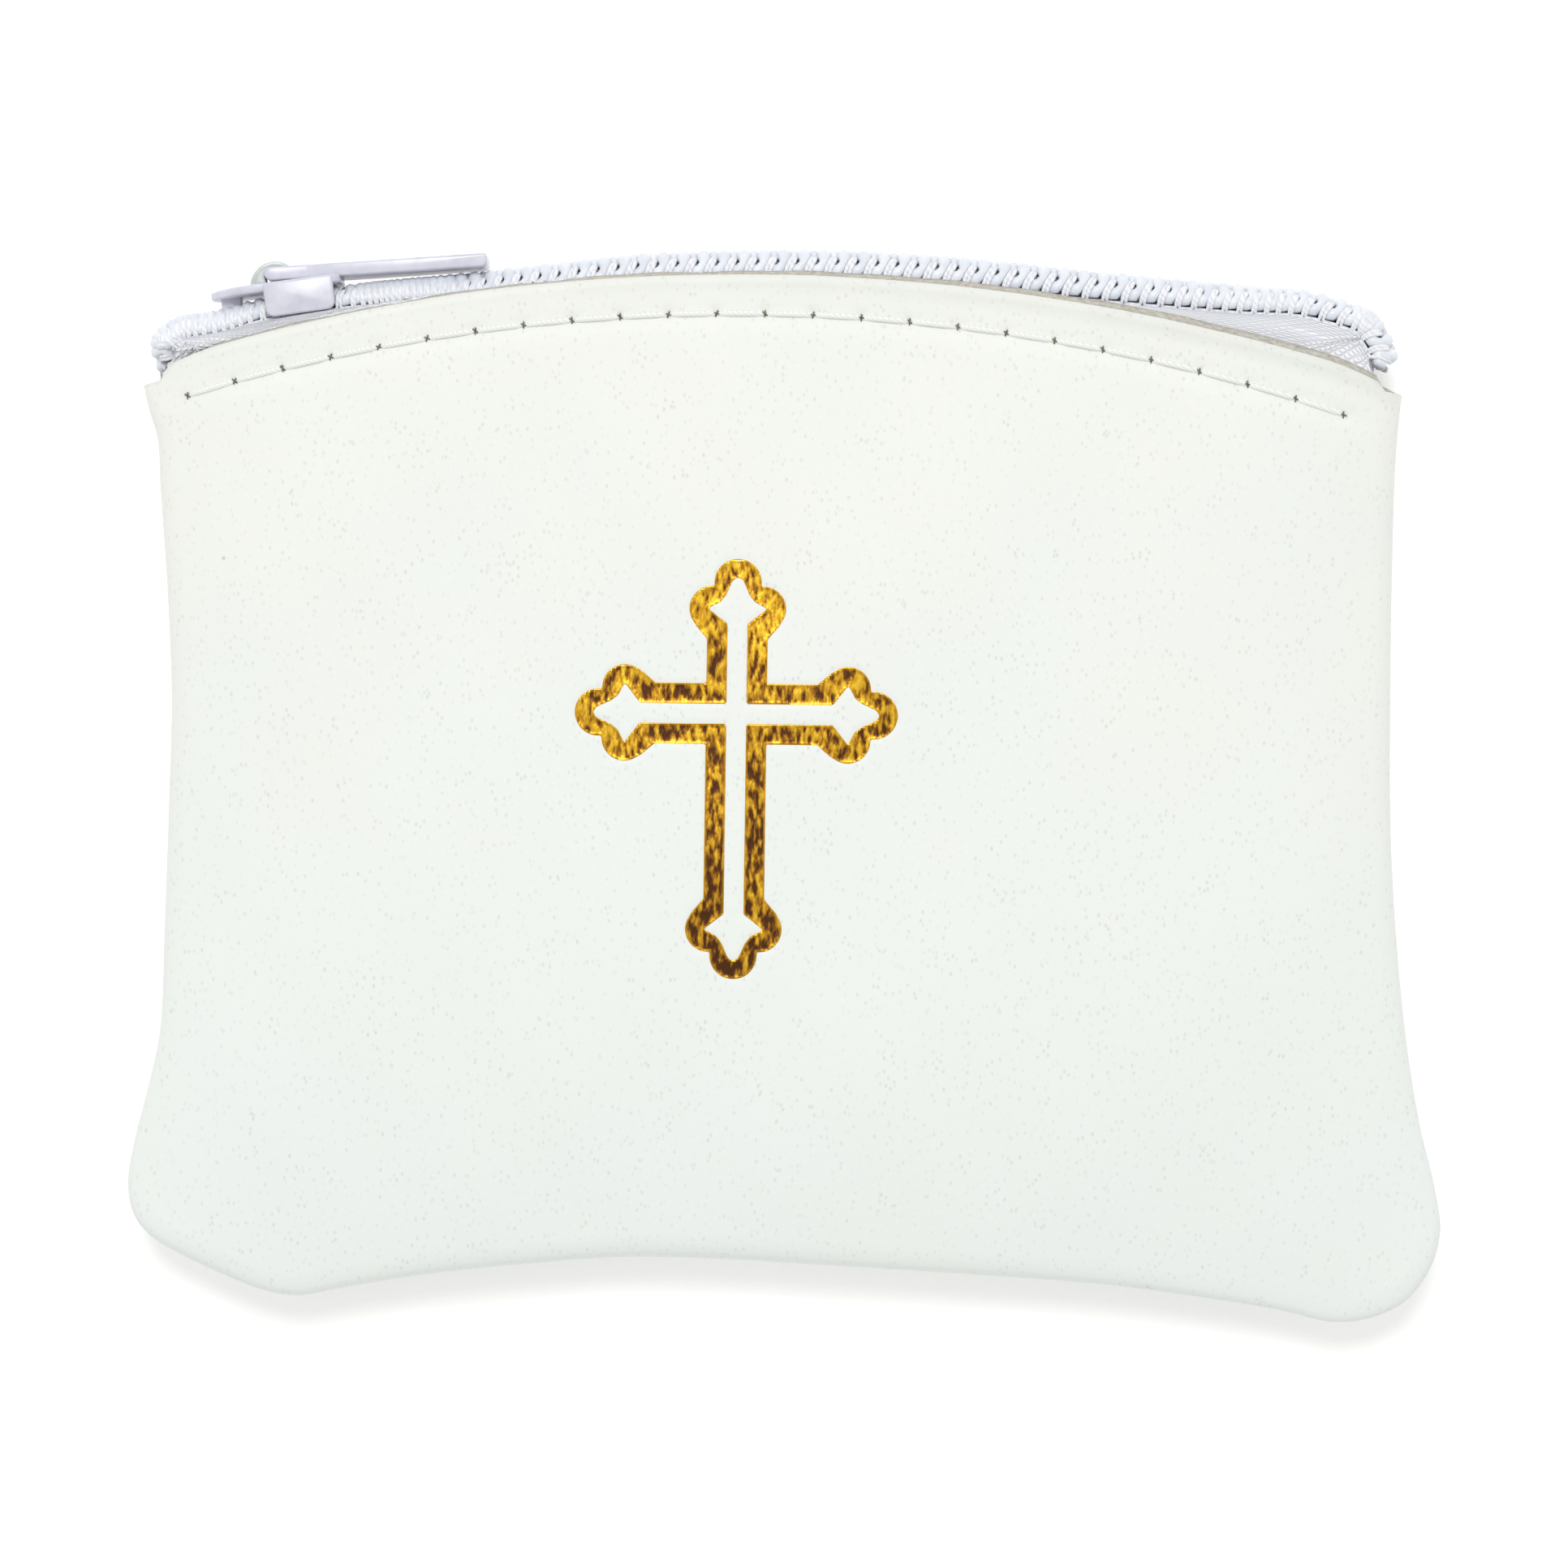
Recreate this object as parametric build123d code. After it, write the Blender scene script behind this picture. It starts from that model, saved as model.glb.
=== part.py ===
from build123d import *
import math
import os

# A small leather rosary pouch with a coil zip along its top, lying on its back panel.
# Millimetres. X runs along the zip, Y from the bottom seam to the zip, Z up out of the front panel.
# Shapes are laid out about PLAN_MIDDLE and moved there at the end, so that the origin is under the
# middle of the whole pouch.

# ---- driving dimensions -------------------------------------------------------------------------

# the whole pouch
THICKNESS = 9.4
MID_Z = THICKNESS / 2
PLAN_MIDDLE = (0.046, -0.127)
LEAF_GAP = 0.03

# the leather
LEATHER = 0.9
SEAM_ALLOWANCE = 3.5
EDGE_HALF_THICKNESS = 1.7
BULGE = MID_Z - EDGE_HALF_THICKNESS
BACK_EXTRA_BULGE = 0.4
HALF_WIDTH = 43.0
BOTTOM_Y = -35.0
BULGE_START_Y = 5.0
MOUTH_RISE_Y = -5.0
MOUTH_RISE_LENGTH = 35.0
BODY_POWER = 6
MOUTH_POWER = 14
BOTTOM_POWER = 4

# the sheet of points that a panel's face is drawn through, and a reach past the whole pouch
SKIN_HALF_WIDTH = 48.0
SKIN_HALF_HEIGHT = 40.0
SKIN_DEPTH = 20.0
BEYOND = 60.0
PANEL_REACH = 9.0

# the seam line on the bench: left side, bottom and right side, from one mouth corner to the other
LEFT_SIDE = [(-43.3, 27.0), (-42.3, 22.0), (-41.4, 10.0), (-41.5, -1.0), (-42.2, -17.0), (-44.1, -25.0)]
LEFT_CORNER = [(-44.1, -28.6), (-41.9, -31.2), (-37.4, -33.4), (-33.2, -34.6)]
BOTTOM = [(-26.0, -33.4), (-9.0, -32.0), (8.0, -32.9), (22.0, -33.9), (32.0, -35.3)]
RIGHT_CORNER = [(37.8, -36.4), (42.2, -34.8), (44.4, -30.4)]
RIGHT_SIDE = [(43.5, -25.0), (41.8, -15.0), (41.0, 0.0), (41.1, 13.0), (41.5, 22.5), (41.8, 26.6)]
ABOVE_MOUTH = 46.0
INSET_STEPS = 40
SEAM_LINE_INSET = 0.6
SEAM_GROOVE = 0.65
SEAM_THREAD_DEPTH = 0.42
SEAM_STOPS_BELOW_LIP = 3.0

# the raw edge of the mouth and the line of stitches below it, as circles
LIP_CENTRE = (-1.95, -101.6)
LIP_RADIUS = 136.0
STITCH_CENTRE = (-3.34, -95.35)
STITCH_RADIUS = 126.9
STITCH_PITCH = 3.3
STITCH_LENGTH = 2.9
STITCH_HALF_SPAN = 37.5
THREAD_RADIUS = 0.16
THREAD_GAP = 0.04
STITCH_GROOVE = 0.25

# the coil chain, on an arc about a point below the pouch
ARC_CENTRE = (1.4, -163.85)
ARC_RADIUS = 200.0
CHAIN_LEFT = 12.6
CHAIN_RIGHT = 11.5
COIL_THICKNESS = 1.45
COIL_INNER = 1.05
COIL_OUTER = 2.1
HEAD_REACH = 0.35
COIL_PITCH = 1.36
HEAD_WIDTH = 0.56
HEAD_ROOT = 0.2
HOOKED_PAST_SLIDER = 0.4
CORD_RADIUS = 0.28
CORD_GAP = 0.03
CORD_ABOVE_TAPE = 0.5
COIL_THREAD_RADIUS = 0.12

# the tapes
TAPE = 0.4
TAPE_GAP = 0.1
TAPE_REACH = 9.0
TAPE_HALF_SPAN = 10.9
TAPE_CLEARANCE = 0.06
TAPE_INNER_EDGE = 1.15
TAPE_RIGHT_SHORTER = 0.8

# the slider, in its own frame: x along the chain, y out of the mouth from the coil's top, z across
SLIDER_ANGLE = 10.26
SLIDER_TILT = 2.5
SLIDER_TRAVEL = 20.6
SLIDER_FRONT = -4.55
SLIDER_REAR = 4.45
SLIDER_HALF_WIDTH = 2.95
PLATE = 0.75
PLATE_TOP = 1.0
PLATE_REAR_TOP = 0.55
CHANNEL_TOP = 0.25
CHANNEL_BOTTOM = -2.2
FLANGE_BOTTOM = -1.35
FLANGE_FRONT = -1.1
FLANGE_REAR = 3.9
FLANGE_INNER = 2.3
FLANGE_OUTER = 2.85
DIAMOND_HALF_WIDTH = 0.9

# the spring cap over the tab's bar, and its locking pin
CAP_X = -0.2
CAP_Y = 0.65
CAP_RADIUS = 1.65
CAP_SHEET = 0.35
CAP_HALF_WIDTH = 1.1
PIN_RADIUS = 0.25
PIN_HOLE_RADIUS = 0.33
PIN_X = 0.95

# the pull tab
TAB_LENGTH = 14.7
TAB_HALF_WIDTH = 2.1
TAB_THICKNESS = 0.84
TAB_BAR_Y = 1.52
TAB_BAR_RADIUS = 0.38
TAB_EYE_REACH = 2.4
TAB_ANGLE = -4.0

# the stamped cross
CROSS_CENTRE = (-3.2, 4.7)
CROSS_TURN = -0.8
CROSS_ARM = 10.84
CROSS_TOP = 10.4
CROSS_FOOT = 17.8
BAR_WIDTH = 4.1
CHANNEL_WIDTH = 1.3
BUD_RADIUS = 1.6
BUD_SPAN = 6.5
STAR_LENGTH = 2.8
FOIL = 0.05
FOIL_DEPTH = 0.1
FOIL_EDGE_GAP = 0.03
FOIL_BED_GAP = 0.02


# ---- helpers ------------------------------------------------------------------------------------

def bulge(x, y, rise=BULGE):
    """Height of a panel's outer face above the middle plane: low at the seams, full at the mouth."""
    toward_mouth = min(max((y - MOUTH_RISE_Y) / MOUTH_RISE_LENGTH, 0.0), 1.0)
    power = BODY_POWER + (MOUTH_POWER - BODY_POWER) * toward_mouth ** 2
    across = min(abs(x) / HALF_WIDTH, 1.06)
    down = min(max((BULGE_START_Y - y) / (BULGE_START_Y - BOTTOM_Y), 0.0), 1.15)
    return EDGE_HALF_THICKNESS + rise * (1 - across ** power) * (1 - down ** BOTTOM_POWER)


def under_face(inset, side, rise=BULGE):
    """Solid from behind the middle plane to a panel's face, less an inset. The back is flat below."""
    half_columns = 16
    row_steps = 24
    columns = [SKIN_HALF_WIDTH * math.sin(math.pi / 2 * i / half_columns)
               for i in range(-half_columns, half_columns + 1)]
    rows = [SKIN_HALF_HEIGHT * (2 * j / row_steps - 1) for j in range(row_steps + 1)]
    points = [[(x, y, MID_Z + side * (bulge(x, y, rise) - inset)) for x in columns] for y in rows]
    skin = Face.make_surface_from_array_of_points(points)
    solid = extrude(skin, amount=SKIN_DEPTH, dir=(0, 0, -side))
    if side < 0:
        solid -= block(-BEYOND, BEYOND, -BEYOND, BEYOND, -BEYOND, inset)
    return solid


def layer(inset_outer, inset_inner, side, rise=BULGE):
    """Thin solid between two insets of a panel's face."""
    return under_face(inset_outer, side, rise) - under_face(inset_inner, side, rise)


def seam_curve(inset=0.0):
    """Turned edge from mouth corner to mouth corner, or a line at an even distance inside it."""
    curve = Spline(LEFT_SIDE + LEFT_CORNER + BOTTOM + RIGHT_CORNER + RIGHT_SIDE)
    if inset == 0:
        return curve
    points = []
    for i in range(INSET_STEPS + 1):
        along = curve % (i / INSET_STEPS)
        points.append(curve @ (i / INSET_STEPS) + Vector(-along.Y, along.X) * inset)
    return Spline(points)


def seam_outline(inset=0.0):
    """Closed outline of the pouch, run on past the mouth so that it can be cut at the lip."""
    curve = seam_curve(inset)
    left = curve @ 0
    right = curve @ 1
    closing = Polyline(right, (right.X, ABOVE_MOUTH), (left.X, ABOVE_MOUTH), left)
    return make_face(Wire([*curve.edges(), *closing.edges()]))


def prism(outline, low, high):
    return extrude(Pos(0, 0, low) * outline, amount=high - low)


def disc(centre, radius):
    return Pos(*centre) * Circle(radius)


def arc_band(r_inner, r_outer, z_low, z_high, left=CHAIN_LEFT, right=CHAIN_RIGHT):
    """Part of a ring about the chain's centre, between two angles from straight up."""
    section = Rectangle(r_outer - r_inner, z_high - z_low, align=(Align.MIN, Align.MIN))
    profile = Plane.XZ * Pos(r_inner, z_low) * section
    band = revolve(profile, Axis.Z, revolution_arc=left + right)
    return Pos(*ARC_CENTRE) * Rot(0, 0, 90 - right) * band


def arc_rod(radius, centre_r, z):
    """Round rod about the chain's centre."""
    profile = Plane.XZ * Pos(centre_r, z) * Circle(radius)
    rod = revolve(profile, Axis.Z, revolution_arc=CHAIN_LEFT + CHAIN_RIGHT)
    return Pos(*ARC_CENTRE) * Rot(0, 0, 90 - CHAIN_RIGHT) * rod


def on_arc(angle, radius):
    """Place on the chain's arc, at an angle from straight up, positive to the left."""
    return Pos(*ARC_CENTRE) * Rot(0, 0, angle) * Pos(0, radius, 0)


def in_slider(solid):
    place = on_arc(SLIDER_ANGLE, ARC_RADIUS) * Rot(0, 0, -SLIDER_TILT)
    return place * solid


def block(x0, x1, y0, y1, z0, z1):
    return Pos((x0 + x1) / 2, (y0 + y1) / 2, (z0 + z1) / 2) * Box(x1 - x0, y1 - y0, z1 - z0)


def save(name, solids):
    """Write one node, moved so that the origin is under the middle of the pouch."""
    pieces = solids if isinstance(solids, list) else [solids]
    bodies = [body for piece in pieces for body in piece.solids()]
    moved = Pos(-PLAN_MIDDLE[0], -PLAN_MIDDLE[1], 0) * Compound(children=bodies)
    export_step(moved, f"parts/{name}.step")
    return moved


# ---- leather ------------------------------------------------------------------------------------

def panel(side):
    """One leather panel: face, turned edges and the seam allowance inside, open at the mouth."""
    outline = seam_outline()
    lip = disc(LIP_CENTRE, LIP_RADIUS)
    z_near = MID_Z + side * LEAF_GAP
    z_far = MID_Z + side * PANEL_REACH
    low, high = sorted((z_near, z_far))
    rise = BULGE if side > 0 else BULGE + BACK_EXTRA_BULGE
    wall_inside = seam_outline(LEATHER)
    allowance_inside = seam_outline(LEATHER + SEAM_ALLOWANCE)
    body = prism(outline & lip, low, high) & under_face(0, side, rise)
    allowance_low, allowance_high = sorted((MID_Z - side, MID_Z + side * (LEAF_GAP + LEATHER)))
    allowance = prism((outline - allowance_inside) & lip, allowance_low, allowance_high)
    line = LEATHER + SEAM_LINE_INSET
    groove_floor = MID_Z + side * (LEAF_GAP + SEAM_THREAD_DEPTH - THREAD_RADIUS - THREAD_GAP)
    groove_low, groove_high = sorted((groove_floor, MID_Z + side * 3))
    groove = seam_outline(line - SEAM_GROOVE) - seam_outline(line + SEAM_GROOVE)
    allowance -= prism(groove, groove_low, groove_high)
    hollow = prism(wall_inside, low - 1, high + 1) & under_face(LEATHER, side, rise)
    body -= hollow - allowance
    if side < 0:
        ring = disc(STITCH_CENTRE, STITCH_RADIUS + STITCH_GROOVE)
        ring -= disc(STITCH_CENTRE, STITCH_RADIUS - STITCH_GROOVE)
        strip = Rectangle(2 * STITCH_HALF_SPAN + 2, BEYOND, align=(Align.CENTER, Align.MIN))
        body -= prism(ring & strip, -1, 3 * THREAD_RADIUS)
    return body


def cross_arm(length, turn):
    """Arm of the cross with its three-lobed bud, pointing up before it is turned."""
    lobe_y = length - 2.35 * BUD_RADIUS
    side_x = BUD_SPAN / 2 - BUD_RADIUS
    arm = Pos(0, (length - BUD_RADIUS) / 2) * Rectangle(BAR_WIDTH, length - BUD_RADIUS)
    for x, y in ((-side_x, lobe_y), (side_x, lobe_y), (0, length - BUD_RADIUS)):
        arm += Pos(x, y) * Circle(BUD_RADIUS)
    return Rot(0, 0, turn) * arm


def cross_channel(length, turn):
    """Bare channel down the middle of an arm, ending in a three-pointed star."""
    tip = length - 1.35
    star = tip - STAR_LENGTH / 2 - 0.3
    channel = Pos(0, star / 2) * Rectangle(CHANNEL_WIDTH, star)
    half = CHANNEL_WIDTH / 2
    points = [(0, tip), (0.55, star + 0.6), (1.85, star), (half, star - 0.6), (half, star - 1.3),
              (-half, star - 1.3), (-half, star - 0.6), (-1.85, star), (-0.55, star + 0.6)]
    channel += make_face(Polyline(*points, close=True))
    return Rot(0, 0, turn) * channel


def cross_outline():
    arms = ((CROSS_TOP, 0), (CROSS_ARM, 90), (CROSS_FOOT, 180), (CROSS_ARM, -90))
    band = Sketch() + [cross_arm(length, turn) for length, turn in arms]
    channel = Sketch() + [cross_channel(length, turn) for length, turn in arms]
    return Pos(*CROSS_CENTRE) * Rot(0, 0, CROSS_TURN) * (band - channel)


def stamped_front():
    """Front panel with the recess that the stamp leaves, and the foil that lies in it."""
    front = panel(1)
    outline = cross_outline()
    recess = prism(outline, MID_Z, MID_Z + PANEL_REACH) - under_face(FOIL_DEPTH, 1)
    foil = prism(offset(outline, -FOIL_EDGE_GAP), MID_Z, MID_Z + PANEL_REACH)
    foil &= layer(FOIL_DEPTH - FOIL_BED_GAP - FOIL, FOIL_DEPTH - FOIL_BED_GAP, 1)
    return front - recess, foil


# ---- zip ----------------------------------------------------------------------------------------

def coil(side):
    """Row of the coil chain: a spine round the filler cord with one head for each turn."""
    inner, outer = sorted((MID_Z + side * COIL_INNER, MID_Z + side * COIL_OUTER))
    spine = arc_band(ARC_RADIUS - COIL_THICKNESS, ARC_RADIUS, inner, outer)
    cord_z = MID_Z + side * (COIL_INNER + COIL_OUTER) / 2
    cord_r = ARC_RADIUS - COIL_THICKNESS + CORD_ABOVE_TAPE
    spine -= arc_rod(CORD_RADIUS + CORD_GAP, cord_r, cord_z)
    thread_r = ARC_RADIUS - COIL_THREAD_RADIUS
    spine -= arc_rod(COIL_THREAD_RADIUS + CORD_GAP, thread_r, cord_z)
    step = math.degrees(COIL_PITCH / ARC_RADIUS)
    count = int((CHAIN_LEFT + CHAIN_RIGHT) / step) - 1
    hooked_until = SLIDER_ANGLE + math.degrees(HOOKED_PAST_SLIDER / ARC_RADIUS)
    length = COIL_INNER + HEAD_REACH + HEAD_ROOT
    middle = MID_Z + side * (COIL_INNER + HEAD_ROOT - length / 2)
    head = Pos(0, -COIL_THICKNESS / 2, middle) * Box(HEAD_WIDTH, COIL_THICKNESS - 0.1, length)
    for i in range(count):
        shift = 0.5 + i + (0.5 if side > 0 else 0.0)
        angle = -CHAIN_RIGHT + shift * step
        if angle <= hooked_until:
            spine += on_arc(angle, ARC_RADIUS) * head
    cord = arc_rod(CORD_RADIUS, cord_r, cord_z)
    thread = arc_rod(COIL_THREAD_RADIUS, thread_r, cord_z)
    return spine, cord, thread


def tape(side):
    """Woven tape: flat under the coil, then folded down behind the lip."""
    outer_r = ARC_RADIUS - COIL_THICKNESS - TAPE_GAP
    low, high = sorted((MID_Z + side * TAPE_INNER_EDGE, MID_Z + side * PANEL_REACH))
    rise = BULGE if side > 0 else BULGE + BACK_EXTRA_BULGE
    depth = LEATHER + TAPE_CLEARANCE
    right = TAPE_HALF_SPAN - TAPE_RIGHT_SHORTER
    leg = arc_band(outer_r - TAPE, outer_r, low, high, TAPE_HALF_SPAN, right)
    leg &= under_face(depth, side, rise)
    fall = arc_band(outer_r - TAPE_REACH, outer_r - TAPE / 2, low, high, TAPE_HALF_SPAN, right)
    fall &= layer(depth, depth + TAPE, side, rise)
    return leg + fall


# ---- threads ------------------------------------------------------------------------------------

def thread_bar(start, end):
    """One straight stitch between two points."""
    path = Line(start, end)
    return sweep(Plane(origin=path @ 0, z_dir=path % 0) * Circle(THREAD_RADIUS), path=path)


def top_stitches(side, inside):
    """Row of stitches below the lip, on the leather or, for the bobbin thread, on the tape inside."""
    inset = -THREAD_RADIUS - THREAD_GAP
    if inside:
        inset = LEATHER + 2 * TAPE_CLEARANCE + TAPE + THREAD_RADIUS + THREAD_GAP
    rise = BULGE if side > 0 else BULGE + BACK_EXTRA_BULGE
    stitches = []
    count = int(2 * STITCH_HALF_SPAN / STITCH_PITCH)
    for i in range(count):
        middle = (i - (count - 1) / 2) * STITCH_PITCH
        ends = []
        for s in (middle - STITCH_LENGTH / 2, middle + STITCH_LENGTH / 2):
            angle = s / STITCH_RADIUS
            x = STITCH_CENTRE[0] + STITCH_RADIUS * math.sin(angle)
            y = STITCH_CENTRE[1] + STITCH_RADIUS * math.cos(angle)
            height = bulge(x, y, rise) - inset
            if side < 0:
                flat = MID_Z - (inset if inside else THREAD_RADIUS + THREAD_GAP / 2)
                height = min(height, flat)
            ends.append((x, y, MID_Z + side * height))
        stitches.append(thread_bar(*ends))
    return stitches


def seam_stitches(side):
    """Lockstitch through the two seam allowances, just inside the turned edge."""
    line = seam_curve(LEATHER + SEAM_LINE_INSET)
    height = MID_Z + side * (LEAF_GAP + SEAM_THREAD_DEPTH)
    count = int(line.length / STITCH_PITCH)
    stitches = []
    for i in range(count):
        start = line @ (i / count)
        end = line @ ((i + STITCH_LENGTH / STITCH_PITCH) / count)
        reach = max(math.hypot(p.X - LIP_CENTRE[0], p.Y - LIP_CENTRE[1]) for p in (start, end))
        if reach < LIP_RADIUS - SEAM_STOPS_BELOW_LIP:
            stitches.append(thread_bar((start.X, start.Y, height), (end.X, end.Y, height)))
    return stitches


# ---- slider -------------------------------------------------------------------------------------

def plate(y_low, y_high):
    """Slider plate seen from outside the mouth: pointed nose, shoulders and a squarer rear."""
    w = SLIDER_HALF_WIDTH
    points = [(SLIDER_FRONT, 0.7), (SLIDER_FRONT + 0.6, 1.7), (-2.9, w), (-0.6, w), (0.4, FLANGE_OUTER),
              (SLIDER_REAR - 0.4, FLANGE_OUTER), (SLIDER_REAR, FLANGE_OUTER - 0.5)]
    loop = points + [(x, -z) for x, z in reversed(points)]
    face = make_face(Polyline(*loop, close=True))
    slab = extrude(face, amount=y_high - y_low)
    return Pos(0, y_high, 0) * Rot(90, 0, 0) * slab


def slider_body():
    """Two plates joined by the diamond post, with flanges that guide the coils."""
    body = plate(CHANNEL_TOP, PLATE_TOP)
    slope = [(1.45, PLATE_TOP), (SLIDER_REAR + 1, PLATE_REAR_TOP - 0.15), (SLIDER_REAR + 1, 3), (1.45, 3)]
    body -= Pos(0, 0, -5) * extrude(make_face(Polyline(*slope, close=True)), amount=10)
    nose = [(-2.6, PLATE_TOP), (SLIDER_FRONT - 1, PLATE_REAR_TOP - 0.2), (SLIDER_FRONT - 1, 3), (-2.6, 3)]
    body -= Pos(0, 0, -5) * extrude(make_face(Polyline(*nose, close=True)), amount=10)
    for side in (-1, 1):
        z0, z1 = sorted((side * FLANGE_INNER, side * FLANGE_OUTER))
        body += block(FLANGE_FRONT, FLANGE_REAR, FLANGE_BOTTOM, CHANNEL_TOP + 0.1, z0, z1)
    body += plate(CHANNEL_BOTTOM - PLATE, CHANNEL_BOTTOM)
    h = DIAMOND_HALF_WIDTH
    diamond = [(-4.2, 0), (-3.6, h), (-3.0, h), (-2.4, 0), (-3.0, -h), (-3.6, -h)]
    post = extrude(make_face(Polyline(*diamond, close=True)), amount=CHANNEL_TOP - CHANNEL_BOTTOM + 0.2)
    body += Pos(0, CHANNEL_TOP + 0.1, 0) * Rot(90, 0, 0) * post
    body += block(-2.4, -1.9, PLATE_TOP - 0.1, 1.45, -1.0, 1.0)
    body += block(1.5, 1.95, PLATE_TOP - 0.3, 1.4, -1.0, 1.0)
    body -= Pos(PIN_X, 0.6, 0) * Rot(90, 0, 0) * Cylinder(PIN_HOLE_RADIUS, 2)
    return body


def spring_cap():
    """Half-round sheet cap over the tab's bar, with the pin that drops between the coil's turns."""
    ring = Circle(CAP_RADIUS) - Circle(CAP_RADIUS - CAP_SHEET)
    floor = PLATE_TOP + 0.03 - CAP_Y
    ring -= Pos(0, floor - 5) * Rectangle(10, 10)
    cap = Pos(CAP_X, CAP_Y, -CAP_HALF_WIDTH) * extrude(ring, amount=2 * CAP_HALF_WIDTH)
    top = CAP_Y + 0.9
    pin = Pos(PIN_X, (0.05 + top) / 2, 0) * Rot(90, 0, 0) * Cylinder(PIN_RADIUS, top - 0.05)
    return cap + pin


def pull_tab():
    """Flat tab with an eye round the cap and a bar that runs under it."""
    h = TAB_HALF_WIDTH
    end = TAB_LENGTH - TAB_BAR_RADIUS
    flat = Pos((TAB_EYE_REACH + end) / 2, 0) * RectangleRounded(end - TAB_EYE_REACH, 2 * h, 0.9)
    arms = Pos(TAB_EYE_REACH / 2 + 0.75, 0) * Rectangle(TAB_EYE_REACH + 1.5, 2 * h)
    window = Pos(TAB_EYE_REACH / 2 - 0.5, 0) * Rectangle(TAB_EYE_REACH + 1.0, 2 * CAP_HALF_WIDTH + 0.3)
    slab = extrude(flat + (arms - window), amount=TAB_THICKNESS)
    tab = Pos(0, TAB_THICKNESS / 2, 0) * Rot(90, 0, 0) * slab
    tab += Cylinder(TAB_BAR_RADIUS, 2 * h)
    return Pos(CAP_X, TAB_BAR_Y, 0) * Rot(0, 0, TAB_ANGLE) * tab


# ---- build --------------------------------------------------------------------------------------

def main():
    os.makedirs("parts", exist_ok=True)
    made = []
    front, foil = stamped_front()
    made.append(save("front_panel", front))
    made.append(save("gold_cross_foil", foil))
    made.append(save("back_panel", panel(-1)))
    for name, side in (("back", -1), ("front", 1)):
        row, cord, thread = coil(side)
        made.append(save(f"{name}_coil", row))
        made.append(save(f"{name}_coil_cord", cord))
        made.append(save(f"{name}_coil_stitching", thread))
        made.append(save(f"{name}_zip_tape", tape(side)))
        made.append(save(f"{name}_top_stitching", top_stitches(side, False)))
        made.append(save(f"{name}_top_bobbin_thread", top_stitches(side, True)))
    made.append(save("seam_needle_thread", seam_stitches(1)))
    made.append(save("seam_bobbin_thread", seam_stitches(-1)))
    for name, solid in (("slider_body", slider_body()), ("slider_spring_cap", spring_cap()),
                        ("pull_tab", pull_tab())):
        made.append(save(name, Pos(0, 0, MID_Z) * in_slider(solid)))
    whole = Compound(children=made).bounding_box()
    print("box", whole.min, whole.max, "middle", whole.center())
    hub = on_arc(SLIDER_ANGLE, ARC_RADIUS) * Rot(0, 0, -SLIDER_TILT) * Pos(CAP_X, TAB_BAR_Y, 0)
    print("arc centre", ARC_CENTRE[0] - PLAN_MIDDLE[0], ARC_CENTRE[1] - PLAN_MIDDLE[1])
    print("tab bar", hub.position.X - PLAN_MIDDLE[0], hub.position.Y - PLAN_MIDDLE[1], MID_Z)


main()
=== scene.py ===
import math

import bmesh
import bpy
import numpy as np
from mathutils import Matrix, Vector


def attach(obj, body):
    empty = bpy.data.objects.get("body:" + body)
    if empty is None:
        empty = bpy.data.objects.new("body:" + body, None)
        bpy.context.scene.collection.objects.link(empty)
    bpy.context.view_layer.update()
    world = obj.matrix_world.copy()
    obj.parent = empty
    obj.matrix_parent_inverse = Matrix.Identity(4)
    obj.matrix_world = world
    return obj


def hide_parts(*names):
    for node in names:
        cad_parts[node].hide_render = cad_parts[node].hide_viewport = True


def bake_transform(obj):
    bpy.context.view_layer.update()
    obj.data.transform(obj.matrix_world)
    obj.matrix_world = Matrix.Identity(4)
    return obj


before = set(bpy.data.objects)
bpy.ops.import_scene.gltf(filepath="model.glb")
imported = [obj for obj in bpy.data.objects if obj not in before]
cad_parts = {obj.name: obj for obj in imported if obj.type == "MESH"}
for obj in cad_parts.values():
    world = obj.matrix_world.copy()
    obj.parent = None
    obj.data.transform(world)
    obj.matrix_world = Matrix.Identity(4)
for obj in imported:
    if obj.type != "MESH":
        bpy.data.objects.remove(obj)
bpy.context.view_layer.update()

MM = 0.001

# ---- The table top and its light ----------------------------------------------------------------
# The pouch lies on its back on a plain white top under an evenly lit white room. One soft lamp
# stands above and beyond the zip. The camera looks straight down from arm's length.

CAMERA_HEIGHT = 400 * MM
FRAME_WIDTH = 106.3 * MM
MIDDLE_Z = 4.7 * MM
CAMERA_PLACE = (-0.05 * MM, 0.13 * MM)

camera_data = bpy.data.cameras.new("camera")
camera_data.sensor_width = 36
camera_data.lens = 36 * CAMERA_HEIGHT / FRAME_WIDTH
camera = bpy.data.objects.new("camera", camera_data)
camera.location = (*CAMERA_PLACE, CAMERA_HEIGHT + MIDDLE_Z)
bpy.context.collection.objects.link(camera)
bpy.context.scene.camera = camera
bpy.context.scene.view_settings.view_transform = "Standard"

world = bpy.data.worlds.new("room")
bpy.context.scene.world = world
world.use_nodes = True
world.node_tree.nodes["Background"].inputs["Color"].default_value = (1.0, 1.0, 1.0, 1)
world.node_tree.nodes["Background"].inputs["Strength"].default_value = 0.72


def soft_lamp(name, place, size, watts, colour):
    lamp_data = bpy.data.lights.new(name, "AREA")
    lamp_data.shape = "DISK"
    lamp_data.size = size
    lamp_data.energy = watts
    lamp_data.color = colour
    lamp = bpy.data.objects.new(name, lamp_data)
    lamp.location = place
    lamp.rotation_euler = (-Vector(place)).to_track_quat("-Z", "Y").to_euler()
    bpy.context.collection.objects.link(lamp)


soft_lamp("lamp_beyond_zip", (-0.04, 0.34, 0.75), 0.34, 2.9, (1.0, 0.995, 0.985))


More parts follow.
